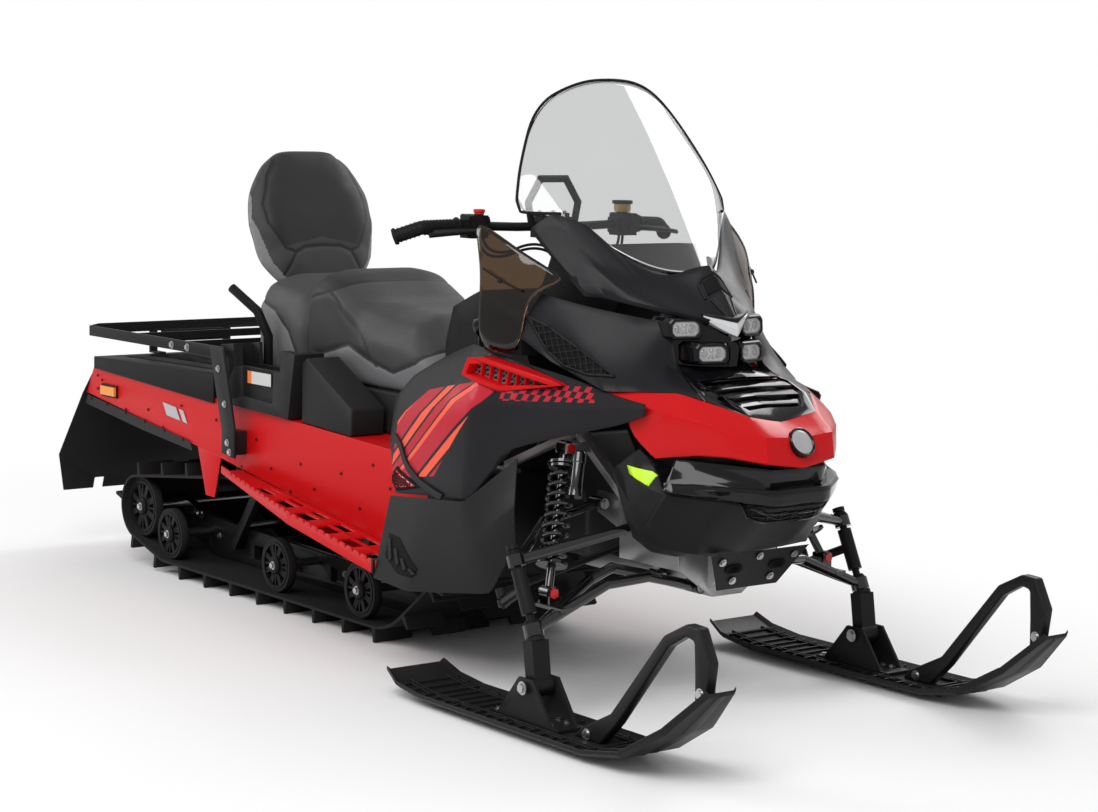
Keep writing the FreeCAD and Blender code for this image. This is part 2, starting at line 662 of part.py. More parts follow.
def make_deck():
    """Ribbed rear deck on the tunnel top, level where the tunnel slopes, with an edge down each side."""
    rear, front = DECK_REAR, DECK_FRONT
    under_rear, under_front = f"{tunnel_line(rear)} + seat_gap", f"{tunnel_line(front)} + seat_gap"
    top_rear, top_front = f"{tunnel_line(rear)} + deck_rear_rise", f"{tunnel_line(front)} + deck_front_rise"
    outline = [(rear, under_rear), (front, under_front), (front, top_front), (rear, top_rear)]
    body = padded_body("rear_deck", outline, "-deck_half", "deck_half")
    for number in range(-3, 4):
        middle = f"{number} * deck_half / 4"
        groove = [
            (f"{rear} + 60", f"{top_rear} - 5"),
            (f"{front} - 60", f"{top_front} - 7"),
            (f"{front} - 60", f"{top_front} + 20"),
            (f"{rear} + 60", f"{top_rear} + 20"),
        ]
        pocket_body(body, f"groove_{number + 4}", groove, f"{middle} - 12", f"{middle} + 12")
    for name, inner in (("left", "tunnel_half + seat_gap"), ("right", "-deck_half")):
        edge = outline_sketch(body, f"skirt_{name}", [
            (rear, f"{under_rear} + 1"),
            (rear, f"{under_rear} - deck_skirt"),
            (front, f"{under_front} - deck_skirt"),
            (front, f"{under_front} + 1"),
        ], inner)
        pad = body.newObject("PartDesign::Pad", f"skirt_{name}_pad")
        pad.Profile = edge
        pad.Reversed = True
        pad.setExpression("Length", bound("deck_half - tunnel_half - seat_gap"))
    return body


def deck_top(x):
    rear, front = 4 - S.tunnel_rear_back, -S.seat_rear_back - 6
    return blend(tunnel_top(rear) + S.deck_rear_rise, tunnel_top(front) + S.deck_front_rise, (x - rear) / (front - rear))


def make_rack():
    """Flat-bar loop with two cross bars on two bent posts."""
    top, low = S.rack_up, S.rack_up - S.rack_band
    half, gauge, corner = S.rack_half, S.rack_gauge, 60
    rear, front = -S.rack_rear_back, -S.rack_front_back

    def loop(inset):
        near = corner - inset * 0.4
        return [(front, half - inset), (rear + near, half - inset), (rear + inset, half - near),
                (rear + inset, near - half), (rear + near, inset - half), (front, inset - half)]

    pieces = [Part.Face(closed_wire([(x, y, low) for x, y in loop(0) + loop(gauge)[::-1]])).extrude(vec(0, 0, top - low))]
    for share in (0.36, 0.7):
        x = blend(rear, front, share)
        pieces.append(block((x, x + gauge), (-half + gauge / 2, half - gauge / 2), (low + 4, top - 4)))
    foot = deck_top(rear + gauge + 60) + S.seat_gap
    for inner in (-S.post_half, S.post_half - 24):
        pieces.append(block((rear + gauge / 2, rear + gauge + 6), (inner, inner + 24), (foot, low + 6)))
        pieces.append(block((rear + gauge / 2, rear + gauge + 60), (inner, inner + 24), (foot, foot + 6)))
    return fused(pieces)


def make_rack_brackets():
    """Bracket each side from the rack's front end down to the tunnel side."""
    front = "-rack_front_back"
    outline = [
        (f"{front} - 60", "rack_up - 2"),
        (f"{front} + 14", "rack_up - 2"),
        (f"{front} + 76", "rack_up - 218"),
        (f"{front} + 76", "rack_up - 300"),
        (f"{front} + 6", "rack_up - 292"),
        (f"{front} + 6", "rack_up - 226"),
    ]
    body = padded_body("rack_bracket", outline, "rack_half + seat_gap", "rack_half + seat_gap + rack_gauge")
    foot = outline_sketch(body, "bracket_foot", [
        (f"{front} + 12", "rack_up - 226"),
        (f"{front} + 70", "rack_up - 226"),
        (f"{front} + 70", "rack_up - 292"),
        (f"{front} + 12", "rack_up - 286"),
    ], "tunnel_half + seat_gap")
    pad = body.newObject("PartDesign::Pad", "bracket_foot_pad")
    pad.Profile = foot
    pad.Reversed = True
    pad.setExpression("Length", bound("rack_half + rack_gauge - tunnel_half"))
    other = DOCUMENT.addObject("Part::Mirroring", "rack_bracket_mirrored")
    other.Source = body
    other.Normal = vec(0, 1, 0)
    return joined("Part::Compound", "rack_brackets", [body, other])


def make_flap():
    """Snow flap hung from the rear edge of the tunnel, with a notched lower edge."""
    half, gauge = S.flap_half, S.flap_gauge
    top, rear = S.tunnel_rear_up, -S.tunnel_rear_back
    edge = rear - gauge - 2 * S.seat_gap
    path = [(edge - 1.2, top - 2, half - 20), (edge - 57.6, top - 96, half), (rear - 160, top - 296, half + 35),
            (rear - 202, S.flap_low, half)]
    sheet = facet_loft([[(x, -wide, z), (x, wide, z), (x + gauge, wide, z), (x + gauge, -wide, z)]
                        for x, z, wide in path])
    notches = [side_plate([(rear - 260, S.flap_low - 10), (rear - 120, S.flap_low - 10), (rear - 120, S.flap_low + 34),
                           (rear - 260, S.flap_low + 34)], y - 16, y + 16)
               for y in (-half * 0.66, -half * 0.22, half * 0.22, half * 0.66)]
    return sheet.cut(notches)


def make_box_holders():
    """U-shaped holder with a blank plate on each side of the seat."""
    low, top, front, rear = 546, 726, -1258, -1650
    outer, inner = S.holder_half, S.seat_half + 52
    frame = side_plate([(rear, low + 10), (rear, top - 8), (rear + 70, top), (rear + 76, top - 60), (front - 76, top - 60),
                        (front - 70, top), (front, top - 4), (front - 34, low)], inner, outer)
    window = side_plate([(rear + 120, top - 60), (front - 110, top - 60), (front - 116, low + 34), (rear + 120, low + 40)],
                        outer - 16, outer)
    deep = block((rear + 30, front - 30), (inner + 10, outer - 30), (low + 40, top + 10))
    before, after = front + 10, rear - 10
    slant = side_plate([(after, low - 20), (before, low - 20), (before, tunnel_top(before) + S.seat_gap),
                        (after, tunnel_top(after) + S.seat_gap)], inner - 5, S.tunnel_half + S.seat_gap)
    return pair(frame.cut([window, deep, slant]))


def make_seat_covers():
    """Triangular side cover ahead of each box holder."""
    low = tunnel_top(-1010) + S.seat_gap
    outline = [(-1252, tunnel_top(-1252) + S.seat_gap), (-1010, low), (-1004, 600), (-1228, 716), (-1252, 700)]
    return pair(side_plate(outline, S.seat_half + 24, S.tunnel_half - 2))


def make_grab_handles():
    """Bent passenger handle on a foot at each side of the rear seat."""
    y = S.seat_half + 28
    foot = tunnel_top(-1603) + S.seat_gap
    handle = tube([(-1590, y, foot), (-1590, y, 740), (-1612, y + 22, 810), (-1690, y + 60, 872)], 13)
    return pair(handle)


# Seats

def make_seats():
    """Driver's seat with a raised back edge, and the flatter passenger seat behind it."""
    half, low = S.seat_half, S.cushion_up
    split, rear = -S.seat_split_back, -S.seat_rear_back

    def driver(drop, wide):
        return [(x, wide, z) for x, z in (
            (-800, low), (-832, 735 - drop * 0.4), (-939, 836 - drop), (-1060, 842 - drop), (-1200, 868 - drop),
            (-1330, 970 - drop), (-1385, 984 - drop), (-1425, 950 - drop), (split + 3, 860 - drop), (split + 3, low))]

    def passenger(drop, wide):
        return [(x, wide, z) for x, z in (
            (split - 3, low), (split - 3, 850 - drop), (-1500, 884 - drop), (-1600, 900 - drop), (-1685, 902 - drop),
            (rear, 880 - drop), (rear, low))]

    seats = []
    for outline in (driver, passenger):
        seats.append(facet_loft([outline(drop, wide) for drop, wide in (
            (90, -half), (24, -half * 0.84), (0, -half * 0.5), (0, half * 0.5), (24, half * 0.84), (90, half))]))
    return seats


def make_backrest():
    """Oval backrest that leans back from the rear of the seat."""
    low, top = S.backrest_low, S.backrest_up
    sections = []
    for share, wide, deep in ((0, 125, 62), (0.16, 190, 86), (0.42, 214, 96), (0.66, 200, 92), (0.88, 150, 74), (1, 92, 48)):
        z = blend(low, top, share)
        x = -S.seat_rear_back + 40 - (z - low) * 0.3
        sections.append([(x - deep, -wide * 0.72, z), (x - deep * 0.35, -wide, z), (x, -wide * 0.7, z),
                         (x, wide * 0.7, z), (x - deep * 0.35, wide, z), (x - deep, wide * 0.72, z)])
    return facet_loft(sections)


def make_seat_base():
    """Housing under both seats."""
    rear, front, top = "-seat_rear_back", "-880", "cushion_up - seat_gap"
    outline = [
        (rear, f"{tunnel_line(rear)} + seat_gap"),
        (front, f"{tunnel_line(front)} + seat_gap"),
        (front, f"{top} - 30"),
        (f"{front} - 20", top),
        (rear, top),
    ]
    return padded_body("seat_base", outline, "-seat_half - 10", "seat_half + 10")


def make_tank():
    """Fuel tank and console between the seat and the steering column."""
    rear, front = "-876", "-tunnel_front_back - 12"
    outline = [
        (rear, f"{tunnel_line(rear)} + seat_gap"),
        (front, f"{tunnel_line(front)} + seat_gap"),
        (front, "760"),
        ("-520", "900"),
        ("-640", "930"),
        ("-760", "880"),
        ("-792", "790"),
        ("-796", "cushion_up"),
        (rear, "cushion_up - 32"),
    ]
    return padded_body("fuel_tank", outline, "-190", "190")


# Body panels round the nose

NOSE_EDGE = ((0, (252, 684)), (100, (256, 702)), (S.centre_half, (212, 738)), (250, (193, 757)), (345, (163, 762)),
             (400, (118, 762)))


def nose_edge(number, drop=0.0):
    """Corner of the line between the upper panels and the red nose."""
    x, z = NOSE_EDGE[number][1]
    return x, z - drop


def make_grille():
    """Centre grille: a slanted frame with cross louvres."""
    half = S.centre_half
    rows = [(0, (105, 787), nose_edge(0)), (100, (107, 793), nose_edge(1)), (half, (126, 797), nose_edge(2))]
    frame = skin(both_sides(rows), (-14, 0, -4))
    window = front_plate([(-half + 34, 774), (half - 34, 774), (half - 62, 742), (80, 712), (-80, 712), (-half + 62, 742)],
                         60, 320)

    def face_x(y, z):
        """Station of the grille's outer side at a place in front view."""
        spots = [(row_y, blend(high[0], low[0], (high[1] - z) / (high[1] - low[1]))) for row_y, high, low in rows]
        return along(spots, abs(y))

    louvres = []
    for number in range(5):
        share = 0.1 + 0.17 * number
        z = blend(787, 684, share)
        wide = blend(half - 14, 86, share)
        sections = []
        for y in (-wide, -wide * 0.6, 0, wide * 0.6, wide):
            x = face_x(y, z)
            sections.append([(x - 24, y, z + 2), (x - 5, y, z - 6), (x - 5, y, z - 10), (x - 24, y, z - 2)])
        louvres.append(facet_loft(sections))
    return fused([frame.cut(window)] + louvres)


def make_lamp_housing():
    """Housing of the four lamps, with a recess for each lens."""
    half = S.centre_half
    rows = [(0, (82, 884), (105, 787.6)), (100, (100, 893), (107, 793.6)), (half, (96, 903), (126, 797.6))]
    housing = skin(both_sides(rows), (-34, 0, 0))
    core = housing.translated(vec(-12))
    recesses = []
    lenses = []
    for low, high, bottom, top in ((26, 108, 803, 842), (96, 172, 856, 894)):
        for side in (1, -1):
            y = sorted((side * low, side * high))
            recesses.append(block((40, 160), y, (bottom, top)).cut(core))
            fill = block((40, 160), (y[0] + S.seat_gap, y[1] - S.seat_gap), (bottom + S.seat_gap, top - S.seat_gap))
            lenses.append(fill.common(housing.translated(vec(-3))).cut(housing.translated(vec(-12 + S.seat_gap))))
    return housing.cut(recesses), Part.makeCompound(lenses)


def make_hood():
    """Left half of the hood, from the lamps round to the side vent."""
    rows = [
        (S.centre_half + S.panel_seam + S.panel_gauge, (97, 905), (126, 797), nose_edge(2, -1.6)),
        (250, (62, 918), (112, 835), nose_edge(3, -1.6)),
        (345, (4, 940), (96, 822), nose_edge(4, -1.6)),
        (376, (-150, 962), (30, 842), (142, 762)),
        (400, (-183, 902), (-5, 797), nose_edge(5, -1.6)),
        (414, (-187, 862), (-60, 815), (10, 797)),
    ]
    return skin(one_side(rows), (-8, -S.panel_gauge, -2.5))


def make_nose():
    """Faceted nose below the grille."""
    drop = S.panel_seam
    rows = [
        (0, nose_edge(0, drop), (318, 655), (334, 590)),
        (100, nose_edge(1, drop), (312, 662), (322, 604)),
        (S.centre_half, nose_edge(2, drop), (300, 674), (302, 622)),
        (250, nose_edge(3, drop), (284, 700), (274, 627)),
        (345, nose_edge(4, drop), (262, 722), (248, 622)),
        (400, nose_edge(5, drop), (255, 726), (206, 684)),
    ]
    return skin(both_sides(rows), (-10, 0, -3))


def make_bumper():
    """Fascia that falls back under the nose, and the bumper bar below it."""
    x = S.bumper_ahead
    fascia = skin(both_sides([
        (0, (x - 6.8, 588), (x - 22, 541)),
        (80, (x - 14, 588), (x - 26, 539)),
        (290, (x - 86, 616), (x - 122, 554)),
    ]), (-6, 0, 0))
    bumper_bar = skin(both_sides([
        (0, (x, 545), (x + 2, 536), (x, 508)),
        (80, (x - 2, 543), (x, 534), (x - 2, 508)),
        (200, (x - 58, 553), (x - 54, 545), (x - 58, 527)),
        (290, (x - 105, 560), (x - 102, 552), (x - 105, 539)),
    ]), (-S.bumper_depth, 0, 0))
    return fused([fascia, bumper_bar])


def make_belly():
    """Pan from the bumper down and back to the skid plate, with a flank each side up to the nose."""
    x = S.bumper_ahead
    rows = [
        (0, (x - 12, 501), (241, 428), (199, 387), (128, 366)),
        (80, (x - 14, 501), (241, 429), (195, 387), (124, 366)),
        (180, (262, 514), (220, 440), (184, 387), (112, 372)),
        (240, (214, 523), (170, 450), (136, 398), (96, 384)),
        (285, (198, 530), (150, 470), (110, 430), (86, 420)),
    ]
    pan = skin(both_sides(rows), (-4, 0, 6))
    flank = skin(one_side([
        (283, (192.4, 528), (151, 473), (109, 432), (84, 421)),
        (318, (199, 602), (150, 552), (114, 500), (100, 468)),
        (358, (196, 637), (150, 610), (118, 590), (104, 572)),
    ]), (-4, -5, 1))
    return fused([pan, flank, mirrored(flank)])


def make_windshield():
    """Tall curved windshield."""
    rows = [
        (0, (-25, 997.2), (-186, 1232), (-376, S.screen_up)),
        (100, (-27, 999.2), (-196, 1230), (-384, S.screen_up - 9)),
        (205, (-55, 1043.2), (-232, 1224), (-410, S.screen_up - 64)),
        (290, (-193, 1141.2), (-270, 1205), (-352, 1250)),
        (330, (-293, 1135.2), (-304, 1152), (-312, 1166)),
    ]
    return skin(both_sides(rows), (-S.screen_gauge, 0, -S.screen_gauge / 2))


def make_shroud():
    """Shroud round the foot of the windshield, with a raised snout in the middle."""
    rows = [
        (0, (-6, 1021), (42, 966), (88, 903)),
        (40, (-5, 1020), (44, 965), (90, 903)),
        (92, (-17, 1003), (40, 962), (108, 908)),
        (140, (-22, 1003), (28, 968), (112, 920)),
        (200, (-48, 1036), (12, 985), (100, 936)),
        (262, (-128, 1118), (-24, 1010), (44, 955)),
        (304, (-205, 1143), (-104, 1056), (-8, 970)),
        (340, (-236, 1108), (-146, 1046), (-26, 972)),
    ]
    return skin(both_sides(rows), (-8, 0, -9))


def make_deflectors():
    """Smoked wind deflector on each side of the windshield."""
    rows = [
        [(-161, 419, 844), (-234, 419, 809), (-358, 417, 826)],
        [(-165, 418, 968), (-250, 419, 985), (-315, 417, 1008)],
        [(-38, 352, 996), (-191, 404, 1050), (-423, 388, 1141)],
    ]
    return pair(skin(rows, (0, -4, 0)))


def make_console():
    """Dashboard between the windshield and the tank."""
    outline = [(-60, 905), (-29.5, 950), (-29.5, 993.6), (-120, 1006), (-236, 1064), (-300, 1040), (-334, 965),
               (-420, 915), (-384, 832), (-250, 832), (-130, 880)]

    def tank_front(z):
        return blend(-S.tunnel_front_back - 12, -520, (z - 760) / 140) + S.seat_gap + 0.2

    flank = side_plate([(-380, 832), (tank_front(832), 832), (tank_front(898), 898), (-420, 915)], 60, 190)
    return fused([side_plate(outline, -236, 236), flank, mirrored(flank)])


def make_air_boxes():
    """Slotted intake box on each side behind the hood."""
    box = block((-336, -196), (300, 398), (814.4, 905))
    slots = [side_plate([(-322, z), (-210, z), (-210, z + 8), (-322, z + 8)], 384, 398) for z in (828, 846, 864, 882)]
    return pair(box.cut(slots))


def make_side_panel():
    """Left side panel with a lengthwise crease and a tall intake opening."""
    rows = [
        [(-700, 350, 718), (-738, 378, 660), (-727, 400, 555)],
        [(-560, 352, 780), (-600, 430, 620), (-641, 440, 441)],
        [(-434, 360, 819), (-400, 450, 700), (-430, 455, 462)],
        [(-300, 405, 812), (-300, 462, 690), (-313, 460, 470)],
        [(-150, 405, 796.6), (-147, 464, 710), (-147, 460, 607)],
        [(40, 405, 779.6), (65, 456, 715), (65, 440, 664)],
        [(161, 409, 753.6), (190, 434, 730), (200, 424, 686)],
        [(286, 418, 742), (292, 421, 733), (288, 420, 716)],
    ]
    opening = side_plate([(-372, 757), (-346, 800), (-287, 806), (-20, 778), (20, 768), (-223, 728), (-318, 742)], 330, 480)
    return skin(rows, (0, -S.panel_gauge, 0)).cut(opening)


def make_intake_frames():
    """Louvred frame in the opening of each side panel."""
    outer = [(-370, 757), (-345, 798), (-287, 804), (-22, 776), (14, 768), (-223, 730), (-317, 744)]
    inner = [(-352, 760), (-338, 784), (-284, 790), (-60, 767), (-30, 764), (-222, 744), (-312, 757)]
    frame = side_plate(outer, 392, 440).cut(side_plate(inner, 380, 450))
    louvres = [bar((x, 420, 738), (x + 16, 420, 800), 10, 5) for x in range(-320, -60, 34)]
    grid = Part.makeCompound(louvres).common(side_plate(outer, 380, 450))
    return pair(fused([frame] + grid.Solids))


def make_lower_panel():
    """Left lower panel in front of the footwell, with three louvres."""
    rear = -S.board_front_back + S.seat_gap
    rows = [
        [(rear, 452, 436), (rear, 478, 330), (rear, 500, 237)],
        [(-500, 462, 450), (-500, 486, 340), (-502, 500, 227)],
        [(-313, 472, 464), (-260, 484, 360), (-206, 470, 262)],
        [(-110, 470, 589), (-120, 468, 480), (-135, 450, 386)],
    ]
    panel = skin(rows, (0, -S.panel_gauge, 0))
    slots = [side_plate([(x, 330), (x + 46, 350), (x + 46, 338), (x, 318)], 400, 520) for x in (-430, -370, -310)]
    return panel.cut(slots)


# Front frame, engine and suspension

def along_shock(share):
    top = (-S.shock_top_back, S.shock_top_half, S.shock_top_up)
    low = (-S.shock_low_back, S.shock_low_half, S.shock_low_up)
    return tuple(blend(a, b, share) for a, b in zip(top, low))


def eye_bolt(centre, y_limits, z_limits):
    """Bolt along X through a shock eye and the two tabs that hold it."""
    reach = S.eye_width / 2 + S.seat_gap + S.tab_gauge
    pieces = [Part.makeCylinder(S.shock_pin_radius, 2 * reach, vec(centre[0] - reach, centre[1], centre[2]), vec(1))]
    for low in (centre[0] - reach, centre[0] + reach - S.tab_gauge):
        pieces.append(block((low, low + S.tab_gauge), y_limits, z_limits))
    return pieces


def make_frame():
    """Front frame: side plates, keel, shock towers, bumper horns and the beam under the engine."""
    half, gauge, front, rear = S.frame_half, S.frame_gauge, S.frame_front, -S.frame_rear_back
    low, top = S.frame_low, S.frame_top
    plate = side_plate([(rear, low), (front, low), (front, top - 10), (rear - 85, top), (rear - 85, top - 50),
                        (rear, top - 80)], half - gauge, half)
    reach = S.bumper_ahead - S.bumper_depth - 2 - S.seat_gap
    horn = bar((front - 6, 110, 430), (reach + 10, 64, 528), 20, 20)
    horn = horn.cut(block((reach, reach + 40), (0, 200), (400, 600)))
    tower_x, tower_y, tower_z = -S.shock_top_back, S.shock_top_half - 38, S.shock_top_up + 40
    tower = bar((rear + 20, half - 12, top - 14), (tower_x, tower_y, tower_z), 24, 24)
    foot_x = -S.tunnel_front_back - 40
    strut = bar((tower_x, tower_y, tower_z - 6), (foot_x, 236, tunnel_top(foot_x) + 16), 18, 18)
    foot = side_plate([(foot_x - 30, tunnel_top(foot_x - 30) + S.seat_gap), (foot_x + 30, tunnel_top(foot_x + 30) + S.seat_gap),
                       (foot_x + 30, tunnel_top(foot_x + 30) + 8), (foot_x - 30, tunnel_top(foot_x - 30) + 8)], 216, 256)
    top_eye = (tower_x, S.shock_top_half, S.shock_top_up)
    tabs = eye_bolt(top_eye, (tower_y - 26, S.shock_top_half + 12), (S.shock_top_up - 12, S.shock_top_up + 12))
    left = fused([plate, horn, tower, strut, foot] + tabs)
    floor = block((rear, front), (-half + gauge / 2, half - gauge / 2), (low, low + gauge))
    face = front_plate([(-half + 2, top - 40), (half - 2, top - 40), (half - 2, low + 2), (S.keel_half, S.keel_low),
                        (-S.keel_half, S.keel_low), (-half + 2, low + 2)], front - gauge, front)
    keel = block((rear, front - 2), (-S.keel_half, S.keel_half), (S.keel_low, low + 2))
    beam = block((-S.tunnel_front_back + S.seat_gap, rear + 2), (-S.keel_half, S.keel_half), (S.keel_low + 3, S.cradle_up))
    guard = side_plate([(front - 2, S.keel_low + 20), (front + 20, 296), (front + 42, 355), (front - 2, 372)], -60, 60)
    return fused([left, mirrored(left), floor, face, keel, beam, guard])


def make_engine():
    """Closed engine block at its real place and size."""
    rear, front, low = "-tunnel_front_back + 8", "-285", "cradle_up + seat_gap"
    outline = [(rear, low), (front, low), (front, "430"), ("-390", "590"), (rear, "590")]
    return padded_body("engine", outline, "-engine_half", "engine_half")


def kingpin():
    lower = vec(S.kingpin_lower_ahead, S.stance_half, S.kingpin_lower_up)
    upper = vec(-S.kingpin_upper_back, S.stance_half, S.kingpin_upper_up)
    direction = upper - lower
    direction.normalize()
    return lower, upper, direction


def ball_sleeve(centre, direction, radius, length):
    """Sleeve round a ball joint stud, with the bore to cut."""
    low = centre - direction * (length / 2)
    shell = Part.makeCylinder(radius, length, low, direction)
    return shell, Part.makeCylinder(S.kingpin_radius + S.bore_play, length + 60, low - direction * 30, direction)


def barrel(x, y, z):
    """Pivot barrel along X at the inner end of a suspension arm."""
    return Part.makeCylinder(S.barrel_radius, S.barrel_length, vec(x - S.barrel_length / 2, y, z), vec(1))


def make_upper_arm():
    lower, upper, direction = kingpin()
    sleeve, hole = ball_sleeve(upper, direction, 20, 26)
    inner = S.frame_half + S.barrel_radius + S.seat_gap
    radius = S.arm_tube_radius
    front = tube([tuple(upper), (36, inner, 447)], radius)
    back = tube([tuple(upper), (-112, 430, 392), (-190, 330, 425), (-190, inner, 455)], radius)
    return fused([sleeve, front, back, barrel(36, inner, 447), barrel(-190, inner, 455)]).cut(hole)


def make_lower_arm():
    """Gull-wing arm that drops to its pivots beside the keel, with tabs for the shock."""
    lower, upper, direction = kingpin()
    sleeve, hole = ball_sleeve(lower, direction, 22, 28)
    inner = S.keel_half + S.barrel_radius + S.seat_gap
    radius = S.arm_tube_radius
    front = tube([tuple(lower), (14, 300, 307), (40, 200, 318), (40, inner, 283)], radius)
    back = tube([tuple(lower), (-50, 300, 307), (-96, 200, 318), (-96, inner, 283)], radius)
    eye = (-S.shock_low_back, S.shock_low_half, S.shock_low_up)
    shelf = block((eye[0] - 26, 24), (S.shock_low_half - 16, S.shock_low_half + 16), (eye[2] - 34, eye[2] - 26))
    tabs = eye_bolt(eye, (eye[1] - 12, eye[1] + 12), (eye[2] - 32, eye[2] + 10))
    return fused([sleeve, front, back, barrel(40, inner, 283), barrel(-96, inner, 283), shelf] + tabs).cut(hole)


def make_shock():
    """Damper body between its two eyes, with the spring's collars."""
    eyes = []
    for share in (0, 1):
        x, y, z = along_shock(share)
        start = vec(x - S.eye_width / 2, y, z)
        ring = Part.makeCylinder(S.eye_radius, S.eye_width, start, vec(1))
        eyes.append((ring, Part.makeCylinder(S.shock_pin_radius + S.bore_play, S.eye_width, start, vec(1))))
    body = fused([rod(along_shock(0), along_shock(1), 10), eyes[0][0], eyes[1][0],
                  rod(along_shock(0.11), along_shock(0.13), S.spring_radius),
                  rod(along_shock(0.8), along_shock(0.82), S.spring_radius)])
    return body.cut([eyes[0][1], eyes[1][1]])


def make_spring():
    """Spring sleeve between the collars of a shock."""
    top, low = along_shock(0.131), along_shock(0.799)
    return rod(top, low, S.spring_radius - 3).cut(rod(top, low, 14))


def steer_pin():
    return vec(-S.steer_arm_back, S.stance_half - S.steer_arm_in, S.steer_arm_up)


def make_spindle():
    """Left upright: ball joint stud, column, foot with the ski bolt's boss, and steering arm."""
    lower, upper, direction = kingpin()
    middle = S.stance_half
    bolt = vec(S.ski_bolt_ahead, middle, S.ski_bolt_up)
    pieces = [
        Part.makeCylinder(S.kingpin_radius, (upper - lower).Length + 72, lower - direction * 36, direction),
        Part.makeCylinder(17, (upper - lower).Length - 58, lower + direction * 38, direction),
        Part.makeCylinder(15, 10, upper + direction * 26, direction),
        Part.makeCylinder(22, 10, lower - direction * 26, direction),
        bar(tuple(lower - direction * 22), tuple(bolt), 46, 34),
        Part.makeCylinder(24, 50, bolt - vec(0, 25), vec(0, 1, 0)),
        rod((-32, middle, 310), tuple(steer_pin()), 11),
        Part.makeCylinder(14, 16, steer_pin() - direction * 8, direction),
    ]
    holes = [
        Part.makeCylinder(S.ski_bolt_radius + S.bore_play, 60, bolt - vec(0, 30), vec(0, 1, 0)),
        Part.makeCylinder(S.tie_pin_radius + S.bore_play, 60, steer_pin() - direction * 30, direction),
    ]
    return fused(pieces).cut(holes)


def make_tie_rod():
    """Left tie rod: pin in the steering arm, rod end and rod up to the pitman arm."""
    lower, upper, direction = kingpin()
    outer = steer_pin()
    above = outer + direction * 24
    foot, head, axis = column_axis()
    inner = foot + pitman_back(axis) * S.pitman_reach + vec(0, 46, 14)
    pin = Part.makeCylinder(S.tie_pin_radius, 46, outer - direction * 12, direction)
    rod_end = Part.makeCylinder(12, 20, above - direction * 10, direction)
    inner_end = Part.makeCylinder(12, 20, inner - axis * 10, axis)
    return fused([pin, rod_end, rod(tuple(above), tuple(inner), 8), inner_end])


# Steering

def column_axis():
    foot = vec(-S.column_foot_back, 0, S.column_foot_up)
    head = vec(-S.bar_back, 0, S.bar_up)
    direction = head - foot
    direction.normalize()
    return foot, head, direction


def pitman_back(direction):
    return vec(-direction.z, 0, direction.x)


def make_handlebar():
    """Column, pitman arm, bar with hooked grips, control blocks, levers and grab hoop."""
    foot, head, direction = column_axis()
    column = Part.makeCylinder(S.column_radius, (head - foot).Length, foot, direction)
    end = foot + pitman_back(direction) * S.pitman_reach
    pitman = bar(tuple(foot + direction * 6), tuple(end + direction * 6), 12, 30)
    x, z, radius = -S.bar_back, S.bar_up, S.bar_radius
    hook = (x - 68, S.bar_half, z - 22)
    left = tube([(x, 0, z), (x, 110, z), (x - 8, 250, z + 4), (x - 30, S.bar_half - 50, z)], radius)
    grip = tube([(x - 12, 282, z + 3), (x - 30, S.bar_half - 50, z), hook], 17)
    switch = bar((x - 2, 206, z + 3), (x - 9, 262, z + 4), 44, 52)
    lever = bar((x + 18, 232, z - 4), (x + 14, S.bar_half - 60, z - 12), 8, 16)
    clamp = block((x - 30, x + 30), (-45, 45), (z - 28, z + 24))
    top = z + S.hoop_rise
    hoop = tube([(x + 4, 66, z), (x + 4, 78, z + 60), (x + 2, 40, top - 9), (x + 2, -40, top - 9), (x + 4, -78, z + 60),
                 (x + 4, -66, z)], 9)
    halves = [left, grip, switch, lever]
    return fused([column, pitman, clamp, hoop] + halves + [mirrored(piece) for piece in halves])


def make_steering_support():
    """Collar round the steering column on two legs that stand on the frame's struts."""
    foot, head, direction = column_axis()
    centre = foot + (head - foot) * ((S.collar_back - S.column_foot_back) / (S.bar_back - S.column_foot_back))
    collar = Part.makeCylinder(S.collar_radius, 40, centre - direction * 20, direction)
    tower_x, tower_z = -S.shock_top_back, S.shock_top_up + 34
    foot_x = -S.tunnel_front_back - 40
    strut_start, strut_end = (tower_x, S.shock_top_half - 38, tower_z), (foot_x, 236, tunnel_top(foot_x) + 16)
    middle = tuple(blend(a, b, 0.55) for a, b in zip(strut_start, strut_end))
    leg = tube([tuple(centre), middle], 11)
    clearance = 18 + 2 * S.seat_gap
    leg = leg.cut(bar(strut_start, strut_end, clearance, clearance))
    leg = max(leg.Solids, key=lambda solid: solid.Volume)
    bore = Part.makeCylinder(S.column_radius + S.bore_play, 100, centre - direction * 50, direction)
    return fused([collar, leg, mirrored(leg)]).cut(bore)


# Skis

SKI_PATH = ((-455, 49), (-400, 24), (-300, 12), (300, 12), (420, 34), (540, 105), (640, 200))
SKI_WIDTHS = (0.86, 0.97, 1, 1, 0.95, 0.8, 0.42)


def ski_top(x):
    return along(SKI_PATH, x) + S.ski_gauge


def make_ski():
    """Left ski: upturned sole with raised edges and a centre keel."""
    middle, gauge = S.stance_half, S.ski_gauge
    sections = []
    for (x, z), share in zip(SKI_PATH, SKI_WIDTHS):
        wide = S.ski_half * share
        keel = S.ski_keel if z == SKI_PATH[2][1] else 2
        under = ((-1, 9), (-0.88, 0), (-0.26, 0), (-0.18, -keel), (0.18, -keel), (0.26, 0), (0.88, 0), (1, 9))
        over = ((1, 9 + gauge), (0.86, gauge), (-0.86, gauge), (-1, 9 + gauge))
        sections.append([(x, middle + wide * across, z + rise) for across, rise in under + over])
    return facet_loft(sections)


